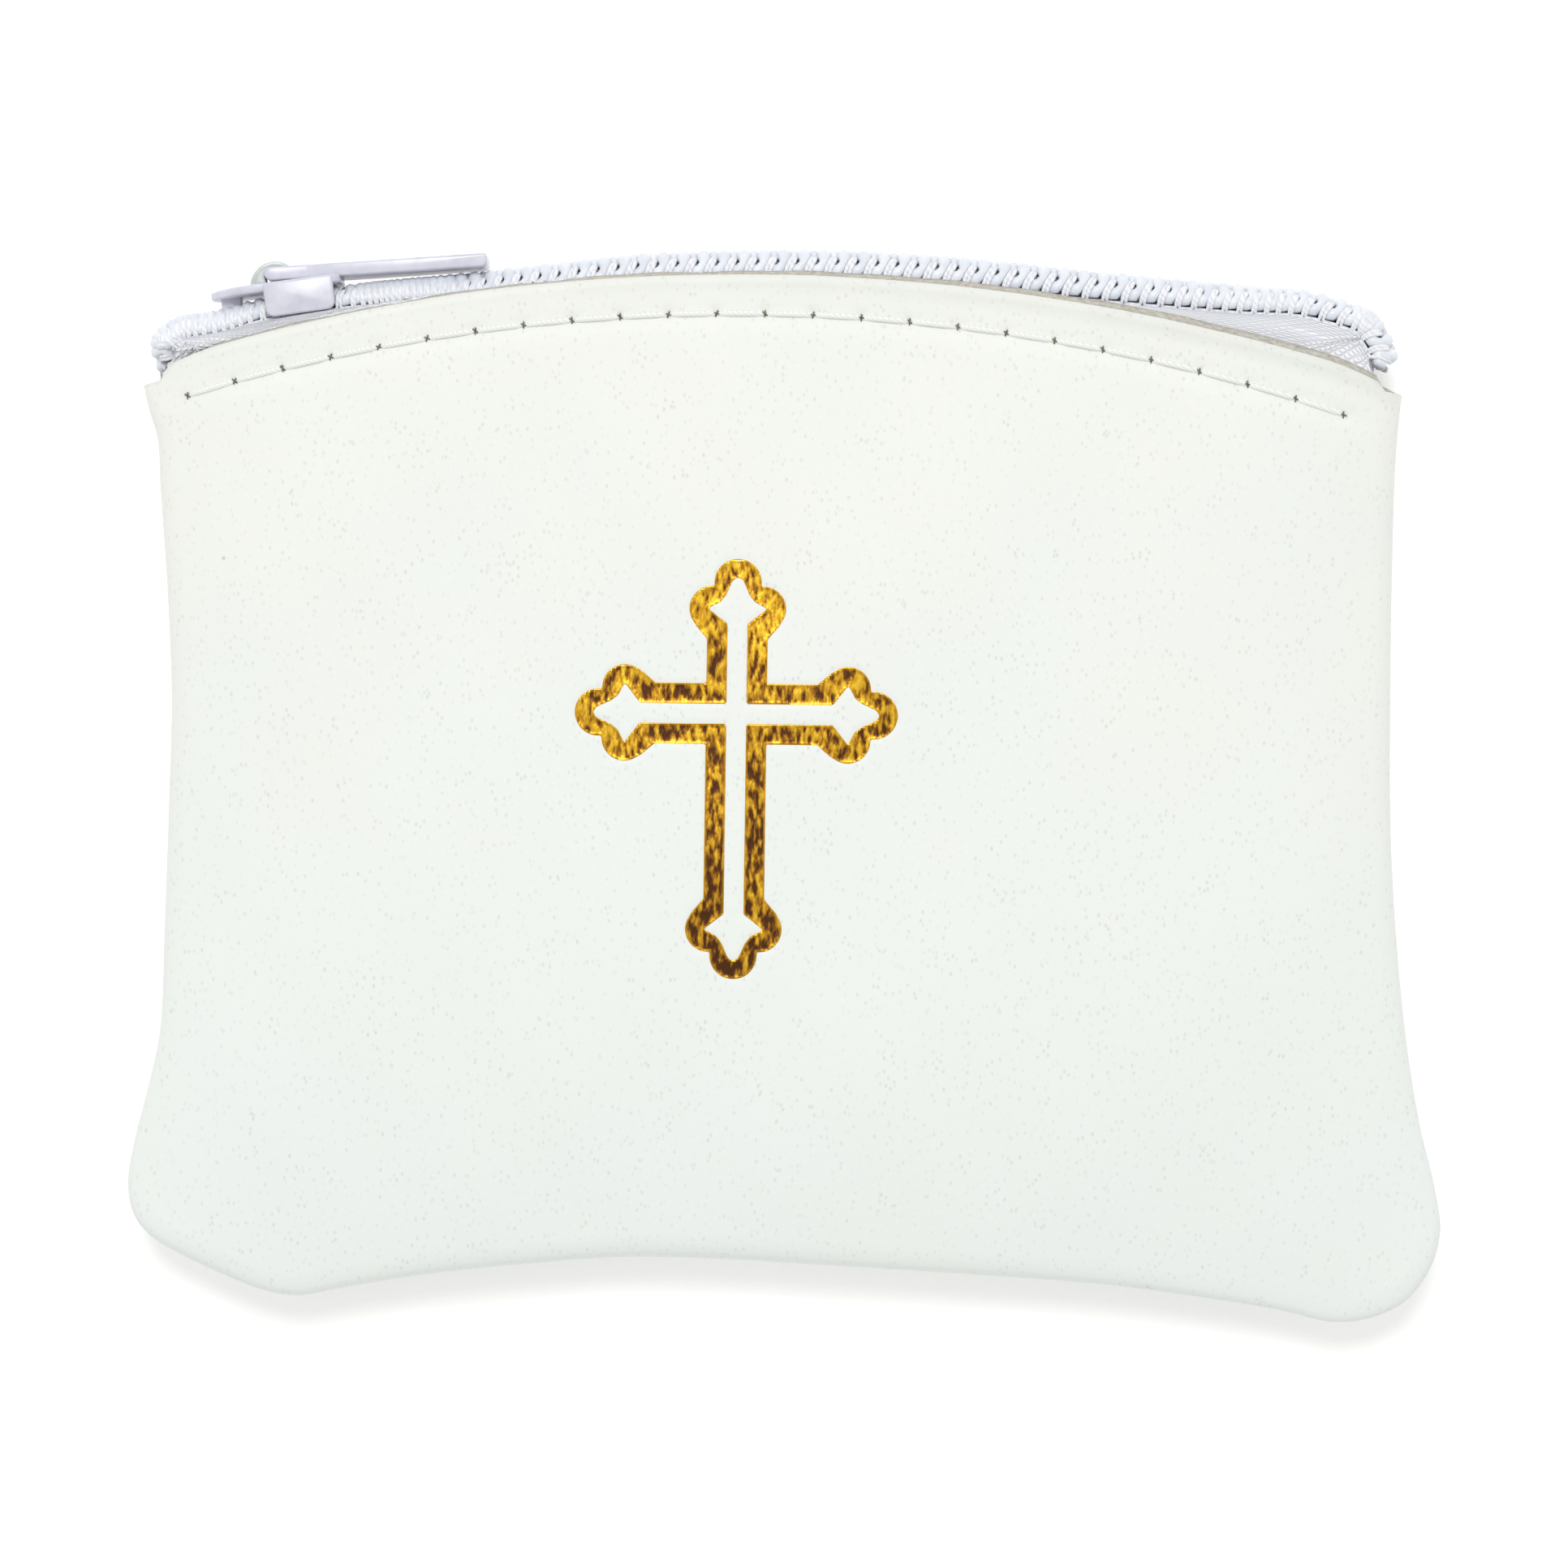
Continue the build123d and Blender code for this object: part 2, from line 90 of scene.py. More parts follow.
def shader(name, colour, roughness, specular=0.5):
    """New material with one Principled shader, and its nodes and links to add to."""
    material = bpy.data.materials.new(name)
    material.use_nodes = True
    nodes = material.node_tree.nodes
    surface = nodes["Principled BSDF"]
    surface.inputs["Base Color"].default_value = (*colour, 1)
    surface.inputs["Roughness"].default_value = roughness
    surface.inputs["Specular IOR Level"].default_value = specular
    return material, nodes, material.node_tree.links, surface


def mesh_object(name, points, faces, materials=(), material_of_face=None, smooth=True):
    """Mesh from points in metres and index tuples, with its materials."""
    mesh = bpy.data.meshes.new(name)
    mesh.from_pydata([tuple(p) for p in points], [], [tuple(f) for f in faces])
    for material in materials:
        mesh.materials.append(material)
    if material_of_face is not None:
        mesh.polygons.foreach_set("material_index", np.asarray(material_of_face, np.int32))
    mesh.polygons.foreach_set("use_smooth", [smooth] * len(mesh.polygons))
    mesh.update()
    piece = bpy.data.objects.new(name, mesh)
    bpy.context.collection.objects.link(piece)
    return piece


floor_paint, _, _, floor_surface = shader("white_top", (0.98, 0.975, 0.96), 0.9, 0.1)
floor_surface.inputs["Emission Color"].default_value = (1, 1, 1, 1)
floor_surface.inputs["Emission Strength"].default_value = 0.16
table_corners = [(-3, -3, 0), (3, -3, 0), (3, 3, 0), (-3, 3, 0)]
floor = mesh_object("table_top", table_corners, [(0, 1, 2, 3)], [floor_paint])

# ---- The leather panels -------------------------------------------------------------------------
# Two panels of white corrected-grain cowhide, cut on one die, sewn face to face round the sides and
# the bottom and turned right side out. The edge rolls over its allowance; the mouth is left raw.

LEATHER = 0.9
HALF_THICKNESS = 4.7
SHIFT = (-0.046, 0.127)
LIP_CENTRE = (-1.95, -101.6)
LIP_RADIUS = 136.0
STITCH_CENTRE = (-3.34, -95.35)
STITCH_RADIUS = 126.9
STITCH_PITCH = 3.235
STITCH_FIRST = -40.1
STITCH_LAST = 38.6

LEFT_SIDE = [(-43.3, 26.9), (-42.9, 25.2), (-42.35, 23.4), (-42.15, 20.0), (-41.7, 13.5), (-41.4, 6.0),
             (-41.6, -1.5), (-41.9, -10.0), (-42.2, -16.6), (-43.1, -20.8), (-44.0, -24.3), (-44.4, -27.0)]
LEFT_EAR = [(-44.0, -29.1), (-42.8, -30.6), (-40.4, -32.0), (-37.4, -33.4), (-35.0, -34.3), (-32.8, -34.6),
            (-30.0, -34.1)]
BOTTOM = [(-24.5, -33.2), (-17.9, -32.5), (-11.0, -32.0), (-4.7, -32.1), (2.0, -32.5), (13.0, -33.2),
          (22.0, -33.9), (30.0, -35.0), (34.0, -35.7)]
RIGHT_EAR = [(37.0, -36.4), (39.4, -36.2), (41.9, -35.1), (43.6, -33.0), (44.4, -30.3), (44.0, -27.2)]
RIGHT_SIDE = [(43.0, -23.0), (42.1, -17.5), (41.4, -10.5), (41.0, -3.0), (41.0, 8.0), (41.1, 14.6),
              (41.3, 21.5), (41.5, 24.0), (41.75, 26.2)]


def smooth_line(points, step=0.25):
    """Centripetal curve through given points, at an even step."""
    p = np.array(points, float)
    p = np.vstack([2 * p[0] - p[1], p, 2 * p[-1] - p[-2]])
    out = []
    for i in range(1, len(p) - 2):
        p0, p1, p2, p3 = p[i - 1:i + 3]
        t1 = np.linalg.norm(p1 - p0) ** 0.5
        t2 = t1 + np.linalg.norm(p2 - p1) ** 0.5
        t3 = t2 + np.linalg.norm(p3 - p2) ** 0.5
        t = np.linspace(t1, t2, 24, endpoint=False)[:, None]
        a1 = (t1 - t) / t1 * p0 + t / t1 * p1
        a2 = (t2 - t) / (t2 - t1) * p1 + (t - t1) / (t2 - t1) * p2
        a3 = (t3 - t) / (t3 - t2) * p2 + (t - t2) / (t3 - t2) * p3
        b1 = (t2 - t) / t2 * a1 + t / t2 * a2
        b2 = (t3 - t) / (t3 - t1) * a2 + (t - t1) / (t3 - t1) * a3
        out.append((t2 - t) / (t2 - t1) * b1 + (t - t1) / (t2 - t1) * b2)
    line = np.vstack(out + [p[-2:-1]])
    run = np.concatenate([[0], np.cumsum(np.linalg.norm(np.diff(line, axis=0), axis=1))])
    even = np.linspace(0, run[-1], max(int(run[-1] / step), 2) + 1)
    return np.column_stack([np.interp(even, run, line[:, k]) for k in range(p.shape[1])])


def pick(line, share):
    """Points along a line at the given shares of its length, which is evenly stepped."""
    at = np.asarray(share) * (len(line) - 1)
    return np.column_stack([np.interp(at, np.arange(len(line)), line[:, k]) for k in range(line.shape[1])])


def normals_2d(line):
    """Unit normals on the left hand of a line: inward, because the seam runs anticlockwise."""
    t = np.gradient(line, axis=0)
    t /= np.linalg.norm(t, axis=1)[:, None]
    return np.column_stack([-t[:, 1], t[:, 0]])


seam = smooth_line(LEFT_SIDE + LEFT_EAR + BOTTOM + RIGHT_EAR + RIGHT_SIDE)
seam_inward = normals_2d(seam)
LEFT_CORNER_POINT = np.array((-43.2, -30.2))
RIGHT_CORNER_POINT = np.array((42.8, -34.2))
left_corner = int(np.argmin(np.linalg.norm(seam - LEFT_CORNER_POINT, axis=1)))
right_corner = int(np.argmin(np.linalg.norm(seam - RIGHT_CORNER_POINT, axis=1)))


def lip_y(x):
    """The raw edge: a shallow arc that falls away at both corners."""
    arc = LIP_CENTRE[1] + np.sqrt(LIP_RADIUS ** 2 - (x - LIP_CENTRE[0]) ** 2)
    turned_out = 0.12 + 0.40 * np.clip((x + 22) / 50, 0, 1)
    return arc - turned_out - 0.5 * np.clip((np.abs(x + 1) - 37) / 5, 0, 1.3) ** 2


def puff(x, y):
    """How far a panel's grain side stands from the middle plane away from its rolled edge."""
    toward_mouth = np.clip((y + 5.0) / 35.0, 0, 1)
    power = 6 + 8 * toward_mouth ** 2
    across = np.clip(np.abs(x) / 43.0, 0, 1.05)
    down = np.clip((5.0 - y) / 40.0, 0, 1.05)
    return 1.7 + 3.0 * (1 - across ** power) * (1 - down ** 4)


def ripple(x, y):
    """Slow unevenness of soft leather, with a finer ripple over it."""
    slow = 0.10 * np.sin(0.13 * x + 0.8) * np.sin(0.17 * y - 0.5) + 0.06 * np.sin(0.31 * x - 0.22 * y + 2.0)
    return slow + 0.03 * np.sin(0.61 * x + 0.4 * y)


def evened(count, density):
    """Shares from 0 to 1 whose spacing is finer where density is higher."""
    t = np.linspace(0, 1, 400)
    total = np.concatenate([[0], np.cumsum((density(t[1:]) + density(t[:-1])) / 2)])
    return np.interp(np.linspace(0, total[-1], count), total, t)


CROSS_CENTRE = np.array((-3.2, 4.7))
COLUMNS = 230
ROWS = 180
EDGE_INSET = 1.35
columns = evened(COLUMNS, lambda t: 1 + 2.3 * np.exp(-((t - 0.462) / 0.135) ** 6))
rows = evened(ROWS, lambda t: (1 + 2.0 * np.exp(-((t - 0.50) / 0.215) ** 6)
                               + 1.6 * np.exp(-((t - 0.945) / 0.04) ** 4)))

# the profile of the turned edge: inset from the outline, and height above the middle plane
ROLL_RADIUS = 0.95
ROLL_HEIGHT = 0.8
ROLL_ANGLES = (-56, -35, -12, 12, 35, 55, 70)
ALLOWANCE = [(3.3, 0.06), (2.3, 0.05), (1.3, 0.04), (0.7, 0.02)]
edge_profile = ALLOWANCE + [(ROLL_RADIUS * (1 - math.cos(math.radians(a))),
                             max(ROLL_HEIGHT + ROLL_RADIUS * math.sin(math.radians(a)), 0.015))
                            for a in ROLL_ANGLES]


# the stamped band runs between these two half-widths of each arm
BAND_OUTER = 2.05
BAND_INNER = 0.65
CROSS_TURN = math.radians(0.8)


def cross_distance(x, y):
    """Signed distance in millimetres to the stamped band: negative inside the foil."""
    cos, sin = math.cos(CROSS_TURN), math.sin(CROSS_TURN)
    px, py = x - CROSS_CENTRE[0], y - CROSS_CENTRE[1]
    px, py = px * cos - py * sin, px * sin + py * cos

    def bar(x, y, x0, x1, y0, y1):
        dx, dy = np.abs(x - (x0 + x1) / 2) - (x1 - x0) / 2, np.abs(y - (y0 + y1) / 2) - (y1 - y0) / 2
        return np.hypot(np.maximum(dx, 0), np.maximum(dy, 0)) + np.minimum(np.maximum(dx, dy), 0)

    def outline(x, y, corners):
        """Signed distance to a closed polygon."""
        best = np.full_like(x, 1e9)
        inside = np.zeros(x.shape, bool)
        for (ax, ay), (bx, by) in zip(corners, corners[1:] + corners[:1]):
            ex, ey = bx - ax, by - ay
            t = np.clip(((x - ax) * ex + (y - ay) * ey) / (ex * ex + ey * ey), 0, 1)
            best = np.minimum(best, np.hypot(x - ax - t * ex, y - ay - t * ey))
            crosses = (ay > y) != (by > y)
            inside ^= crosses & (x < ex * (y - ay) / (ey if ey else 1e-9) + ax)
        return np.where(inside, -best, best)

    outer = np.full_like(px, 99.0)
    inner = np.full_like(px, 99.0)
    arms = ((10.4, 0), (10.84, 90), (17.8, 180), (10.84, 270))
    for length, degrees in arms:
        a = math.radians(degrees)
        ax = px * math.cos(a) + py * math.sin(a)
        ay = -px * math.sin(a) + py * math.cos(a)
        lobes = length - 3.35
        shoulder = [(-BAND_OUTER, length - 5.4), (-2.95, length - 4.35),
                    (2.95, length - 4.35), (BAND_OUTER, length - 5.4)]
        outer = np.minimum(outer, bar(ax, ay, -BAND_OUTER, BAND_OUTER, -1, length - 2.6))
        outer = np.minimum(outer, outline(ax, ay, shoulder))
        outer = np.minimum(outer, np.hypot(ax, ay - (length - 1.6)) - 1.6)
        for side in (-1, 1):
            outer = np.minimum(outer, np.hypot(ax - side * 1.72, ay - lobes) - 1.53)
        half_star = [(BAND_INNER, length - 4.3), (1.88, length - 3.35), (1.1, length - 2.95),
                     (0.72, length - 2.45), (0.3, length - 1.5), (0.0, length - 1.32)]
        star = half_star + [(-x, y) for x, y in half_star[-2::-1]]
        inner = np.minimum(inner, bar(ax, ay, -BAND_INNER, BAND_INNER, -1, length - 4.2))
        inner = np.minimum(inner, outline(ax, ay, star) - 0.05)
    return np.maximum(outer, -inner)


STAMP_DEPTH = 0.13
STAMP_SLOPE = 0.35


def pressed(distance):
    """How deep the stamp presses the leather, at a distance from the band."""
    return STAMP_DEPTH * np.clip(0.5 - distance / STAMP_SLOPE, 0, 1)


hole_count = int((STITCH_LAST - STITCH_FIRST) / STITCH_PITCH)
hole_angles = [math.asin((STITCH_FIRST + i * STITCH_PITCH - STITCH_CENTRE[0]) / STITCH_RADIUS)
               for i in range(hole_count + 1)]
needle_holes = np.array([(STITCH_CENTRE[0] + STITCH_RADIUS * math.sin(a),
                          STITCH_CENTRE[1] + STITCH_RADIUS * math.cos(a)) for a in hole_angles])


def sewn_in(x, y):
    """How deep the top stitching pulls the leather down: a soft valley, deeper at each hole."""
    off_line = np.abs(np.hypot(x - STITCH_CENTRE[0], y - STITCH_CENTRE[1]) - STITCH_RADIUS)
    within = np.clip((40.2 - np.abs(x)) / 2, 0, 1)
    valley = 0.13 * np.exp(-(off_line / 0.75) ** 2) * within
    dx, dy = np.subtract.outer(x, needle_holes[:, 0]), np.subtract.outer(y, needle_holes[:, 1])
    near = np.min(np.hypot(dx, dy), axis=-1)
    return valley + 0.16 * np.exp(-(near / 0.45) ** 2)


def grain_height(x, y, front):
    """Height of the grain side above the middle plane, away from the rolled edge."""
    h = puff(x, y) + ripple(x, y) * np.clip((puff(x, y) - 1.7) / 1.5, 0, 1)
    lip_flare = np.clip(1 - (lip_y(x) - y) / 1.6, 0, 1) ** 2
    curl = 0.22 + 0.40 * np.clip((x + 22) / 50, 0, 1) + 0.07 * np.sin(0.9 * x) * np.sin(0.37 * x + 1)
    h = h + curl * lip_flare * front
    if not front:
        h = np.minimum(h, HALF_THICKNESS - 0.02)
    return h - sewn_in(x, y)


def panel_mesh(front):
    """Grain-side surface of one panel, from the allowance inside, round the roll, to the raw lip."""
    left_share = 1 - rows
    left_ids = left_share * left_corner
    right_ids = right_corner + rows * (len(seam) - 1 - right_corner)
    bottom_ids = left_corner + columns * (right_corner - left_corner)

    def inset_points(ids, inset):
        at = pick(seam, np.asarray(ids) / (len(seam) - 1))
        n = pick(seam_inward, np.asarray(ids) / (len(seam) - 1))
        n /= np.linalg.norm(n, axis=1)[:, None]
        return at + n * inset

    left = inset_points(left_ids, EDGE_INSET)
    right = inset_points(right_ids, EDGE_INSET)
    bottom = inset_points(bottom_ids, EDGE_INSET)
    top_x = left[-1, 0] + (right[-1, 0] - left[-1, 0]) * columns
    top = np.column_stack([top_x, lip_y(top_x)])
    top[0], top[-1] = left[-1], right[-1]
    u = columns[None, :, None]
    v = rows[:, None, None]
    flat = ((1 - v) * bottom[None] + v * top[None] + (1 - u) * left[:, None] + u * right[:, None]
            - (1 - u) * (1 - v) * bottom[0] - u * (1 - v) * bottom[-1]
            - (1 - u) * v * top[0] - u * v * top[-1])
    x, y = flat[..., 0], flat[..., 1]
    h = grain_height(x, y, front)
    if front:
        h = h - pressed(cross_distance(x, y))
    points = [np.column_stack([x.ravel(), y.ravel(), h.ravel()])]
    faces = []
    for j in range(ROWS - 1):
        for i in range(COLUMNS - 1):
            a = j * COLUMNS + i
            faces.append((a, a + 1, a + COLUMNS + 1, a + COLUMNS))
    chain = [j * COLUMNS for j in range(ROWS - 1, 0, -1)] + list(range(COLUMNS))
    chain += [j * COLUMNS + COLUMNS - 1 for j in range(1, ROWS)]
    chain_ids = np.concatenate([left_ids[::-1][:-1], bottom_ids, right_ids[1:]])
    count = len(chain)
    previous = chain
    start = ROWS * COLUMNS
    edge_h = points[0][chain, 2]
    for inset, height in reversed(edge_profile):
        ring = inset_points(chain_ids, inset)
        on_roll = height / edge_profile[-1][1]
        z = height * np.where(on_roll > 0.3, 1 + (edge_h / 1.9 - 1) * on_roll, 1)
        points.append(np.column_stack([ring, z]))
        current = list(range(start, start + count))
        for k in range(count - 1):
            faces.append((previous[k + 1], previous[k], current[k], current[k + 1]))
        previous = current
        start += count
    return np.vstack(points), faces


def placed(points, side):
    """Layout millimetres with height from the middle plane, as metres in the pouch's frame."""
    p = np.asarray(points, float)
    out = np.empty_like(p)
    out[:, 0] = (p[:, 0] + SHIFT[0]) * MM
    out[:, 1] = (p[:, 1] + SHIFT[1]) * MM
    out[:, 2] = (HALF_THICKNESS + side * p[:, 2]) * MM
    return out


def noise(nodes, links, source, scale, detail=2.0, roughness=0.5):
    """Value of a noise texture over the given coordinates."""
    node = nodes.new("ShaderNodeTexNoise")
    node.inputs["Scale"].default_value = scale
    node.inputs["Detail"].default_value = detail
    node.inputs["Roughness"].default_value = roughness
    links.new(source, node.inputs["Vector"])
    return node.outputs["Fac"]


def slanted(nodes, links, source, turn, squeeze):
    """Coordinates turned about Z and drawn out along their new Y, for a grain that runs one way."""
    node = nodes.new("ShaderNodeMapping")
    node.inputs["Rotation"].default_value = (0, 0, turn)
    node.inputs["Scale"].default_value = (1.0, squeeze, 1.0)
    links.new(source, node.inputs["Vector"])
    return node.outputs["Vector"]


def tinted(nodes, links, value, stops):
    """Colour over a value, through two or more stops of position and colour."""
    node = nodes.new("ShaderNodeValToRGB")
    ramp = node.color_ramp
    for element, (position, colour) in zip(ramp.elements, (stops[0], stops[-1])):
        element.position = position
        element.color = (*colour, 1)
    for position, colour in stops[1:-1]:
        ramp.elements.new(position).color = (*colour, 1)
    links.new(value, node.inputs["Fac"])
    return node.outputs["Color"]


def bumped(nodes, links, surface, height, strength, depth_mm):
    """Roughen a surface's normals by a height value."""
    node = nodes.new("ShaderNodeBump")
    node.inputs["Strength"].default_value = strength
    node.inputs["Distance"].default_value = depth_mm * MM
    links.new(height, node.inputs["Height"])
    links.new(node.outputs["Normal"], surface.inputs["Normal"])


def leather_grain():
    """White coated grain: slanted rows of fine pores darkened with painted shade, faint mottling, and painted
    light that makes it warmer near the mouth and cooler towards the bottom.
    """
    material, nodes, links, surface = shader("leather_grain", (0.80, 0.82, 0.79), 0.55, 0.22)
    plain = nodes.new("ShaderNodeTexCoord").outputs["Object"]

    def maths(operation, first, second):
        node = nodes.new("ShaderNodeMath")
        node.operation = operation
        for socket, value in zip(node.inputs, (first, second)):
            if isinstance(value, float):
                socket.default_value = value
            else:
                links.new(value, socket)
        return node.outputs["Value"]

    def spread(value, low, high, to_low=0.0, to_high=1.0):
        node = nodes.new("ShaderNodeMapRange")
        for name, number in (("From Min", low), ("From Max", high), ("To Min", to_low), ("To Max", to_high)):
            node.inputs[name].default_value = number
        links.new(value, node.inputs["Value"])
        return node.outputs["Result"]

    def cells(source, scale):
        node = nodes.new("ShaderNodeTexVoronoi")
        node.inputs["Scale"].default_value = scale
        links.new(source, node.inputs["Vector"])
        return node.outputs["Distance"]

    slant = slanted(nodes, links, plain, 0.6, 0.62)
    pit = spread(cells(slant, 2600), 0.08, 0.33, 1.0, 0.0)
    pits = maths("MULTIPLY", pit, spread(noise(nodes, links, plain, 700, 3), 0.30, 0.66))
    split = nodes.new("ShaderNodeSeparateXYZ")
    links.new(plain, split.inputs["Vector"])
    # painted light: the tint runs warmer towards the mouth and cooler towards the bottom, as the lamp beyond
    # the zip leaves it
    toward_mouth = spread(split.outputs["Y"], -0.036, 0.030)
    mottling = spread(noise(nodes, links, plain, 85, 3), 0.3, 0.7, -0.22, 0.22)
    tint = tinted(nodes, links, maths("ADD", toward_mouth, mottling),
                  [(0.0, (0.792, 0.832, 0.805)), (1.0, (0.815, 0.834, 0.783))])
    specks = spread(cells(plain, 85), 0.006, 0.016, 0.75, 0.0)
    # painted shade in the pores: the pit mask pulls the colour towards grey-olive; the same mix also lays on
    # the leather's own dark specks
    pore_shade_and_specks = nodes.new("ShaderNodeMix")
    pore_shade_and_specks.data_type = "RGBA"
    pore_shade_and_specks.inputs["B"].default_value = (0.50, 0.50, 0.45, 1)
    links.new(maths("MAXIMUM", maths("MULTIPLY", pits, 0.40), specks), pore_shade_and_specks.inputs["Factor"])
    links.new(tint, pore_shade_and_specks.inputs["A"])
    links.new(pore_shade_and_specks.outputs["Result"], surface.inputs["Base Color"])
    crease = noise(nodes, links, slant, 1500, 5)
    bumped(nodes, links, surface, maths("SUBTRACT", maths("MULTIPLY", crease, 0.9), pits), 0.34, 0.06)
    links.new(spread(crease, 0.3, 0.7, 0.48, 0.62), surface.inputs["Roughness"])
    return material


def fibrous(name, light, dark, scale, strength):
    """Cut or flesh side of leather: matt, fibrous and uneven; also the painted shade of the needle holes."""
    material, nodes, links, surface = shader(name, light, 0.9, 0.2)
    place = nodes.new("ShaderNodeTexCoord").outputs["Object"]
    fibre = noise(nodes, links, place, scale, 8, 0.7)
    links.new(tinted(nodes, links, fibre, [(0.32, dark), (0.62, light)]), surface.inputs["Base Color"])
    bumped(nodes, links, surface, fibre, strength, 0.12)
    return material


grain = leather_grain()
flesh = fibrous("leather_flesh_side", (0.70, 0.67, 0.60), (0.55, 0.51, 0.44), 1500, 0.5)
cut_edge = fibrous("leather_cut_edge", (0.60, 0.575, 0.51), (0.36, 0.34, 0.29), 2600, 0.8)


def blend_mouth(piece):
    """Bake a piece of the front leaf's transform into its mesh and read its points; the piece is not bent."""
    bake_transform(piece)
    co = np.empty(len(piece.data.vertices) * 3)
    piece.data.vertices.foreach_get("co", co)


def finished(piece):
    """Piece with its modifiers applied, as one plain mesh at the origin."""
    graph = bpy.context.evaluated_depsgraph_get()
    mesh = bpy.data.meshes.new_from_object(piece.evaluated_get(graph))
    piece.modifiers.clear()
    piece.data = mesh
    return piece


def make_panel(piece_name, node, front):
    side = 1 if front else -1
    points, faces = panel_mesh(front)
    if side < 0:
        faces = [f[::-1] for f in faces]
    panel = mesh_object(piece_name, placed(points, side), faces, [grain, flesh, cut_edge])
    wall = panel.modifiers.new("leather", "SOLIDIFY")
    wall.thickness = LEATHER * MM
    wall.offset = -1
    wall.use_rim = True
    wall.material_offset = 1
    wall.material_offset_rim = 2
    finished(panel)
    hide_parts(node)
    return panel


front_leather = make_panel("front_leather_panel", "front_panel", True)
blend_mouth(front_leather)
back_leather = make_panel("back_leather_panel", "back_panel", False)
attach(back_leather, "pouch_back")

# ---- The gold cross -----------------------------------------------------------------------------
# Metal foil left by a heated brass die, which also presses its outline into the leather. The foil is
# thinner than a hair, takes the leather's grain and is worn through to its brown size in patches.

FOIL_STEP = 0.16
FOIL_LIFT = 0.035
FOIL = 0.02


def foil_mesh():
    """Flat tiles clipped at the stamp's outline, and laid on the pressed leather."""
    xs = np.arange(-15.2, 9.0, FOIL_STEP)
    ys = np.arange(-14.2, 16.2, FOIL_STEP)
    gx, gy = np.meshgrid(xs, ys)
    d = cross_distance(gx, gy) + 0.02
    points, index, faces = [], {}, []

    def corner(i, j):
        key = (i, j)
        if key not in index:
            index[key] = len(points)
            points.append((xs[i], ys[j]))
        return index[key]

    def crossing(i0, j0, i1, j1):
        key = (min((i0, j0), (i1, j1)), max((i0, j0), (i1, j1)))
        if key not in index:
            a, b = d[j0, i0], d[j1, i1]
            t = a / (a - b)
            index[key] = len(points)
            points.append((xs[i0] + t * (xs[i1] - xs[i0]), ys[j0] + t * (ys[j1] - ys[j0])))
        return index[key]

    for j in range(len(ys) - 1):
        for i in range(len(xs) - 1):
            ring = [(i, j), (i + 1, j), (i + 1, j + 1), (i, j + 1)]
            inside = [d[b, a] < 0 for a, b in ring]
            if not any(inside):
                continue
            face = []
            for k in range(4):
                here, there = ring[k], ring[(k + 1) % 4]
                if inside[k]:
                    face.append(corner(*here))
                if inside[k] != inside[(k + 1) % 4]:
                    face.append(crossing(*here, *there))
            if len(face) >= 3:
                faces.append(face)
    x, y = np.array(points).T
    distance = cross_distance(x, y)
    edge = np.clip(-distance / 0.2, 0, 1)
    h = grain_height(x, y, True) - pressed(distance) + FOIL_LIFT * (0.4 + 0.6 * edge)
    return np.column_stack([x, y, h]), faces


def gold_foil():
    """Gold over the leather's pebble: bright crests and painted shade that browns the hollows, brown where it
    wore, browner towards the bottom, and a bright cut rim.
    """
    material, nodes, links, surface = shader("gold_foil", (0.75, 0.52, 0.08), 0.32, 0.5)
    surface.inputs["Metallic"].default_value = 0.7
    place = nodes.new("ShaderNodeTexCoord").outputs["Object"]

    def weighted(value, gain, rest):
        node = nodes.new("ShaderNodeMath")
        node.operation = "MULTIPLY_ADD"
        node.inputs[1].default_value = gain
        links.new(value, node.inputs[0])
        if isinstance(rest, float):
            node.inputs[2].default_value = rest
        else:
            links.new(rest, node.inputs[2])
        return node.outputs["Value"]

    split = nodes.new("ShaderNodeSeparateXYZ")
    links.new(place, split.inputs["Vector"])
    pebble = noise(nodes, links, slanted(nodes, links, place, -0.5, 0.36), 3000, 2)
    worn = noise(nodes, links, place, 420, 4)
    # painted shade: low pebble values pull the ramp to brown in the grain's hollows; the worn patches are
    # wear, and the Y term makes the foil browner towards the bottom
    level = weighted(pebble, 1.0, weighted(worn, 0.35, weighted(split.outputs["Y"], 6.0, -0.175)))
    tint = tinted(nodes, links, level, [(0.40, (0.075, 0.022, 0.002)), (0.48, (0.25, 0.10, 0.004)),
                                        (0.56, (0.50, 0.25, 0.008)), (0.68, (0.78, 0.47, 0.025))])
    rim = nodes.new("ShaderNodeAttribute")
    rim.attribute_name = "foil_rim"
    edged = nodes.new("ShaderNodeMix")
    edged.data_type = "RGBA"
    edged.inputs["B"].default_value = (0.72, 0.36, 0.012, 1)
    links.new(rim.outputs["Fac"], edged.inputs["Factor"])
    links.new(tint, edged.inputs["A"])
    links.new(edged.outputs["Result"], surface.inputs["Base Color"])
    bumped(nodes, links, surface, pebble, 0.9, 0.07)
    return material


foil_points, foil_faces = foil_mesh()
foil = mesh_object("gold_cross", placed(foil_points, 1), foil_faces, [gold_foil()])
rim_value = np.clip(1 + cross_distance(foil_points[:, 0], foil_points[:, 1]) / 0.17, 0, 1)
foil.data.attributes.new("foil_rim", "FLOAT", "POINT").data.foreach_set("value", rim_value.astype(np.float32))
leaf = foil.modifiers.new("foil", "SOLIDIFY")
leaf.thickness = FOIL * MM
leaf.offset = -1
finished(foil)
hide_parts("gold_cross_foil")
blend_mouth(foil)

# ---- The coil chain -----------------------------------------------------------------------------
# Two coils of white nylon wire, each wound flat round a filler cord. The heads of one hook between
# the turns of the other. The chain follows the mouth and its ends are turned down into the corners.

COIL_PITCH = 1.36

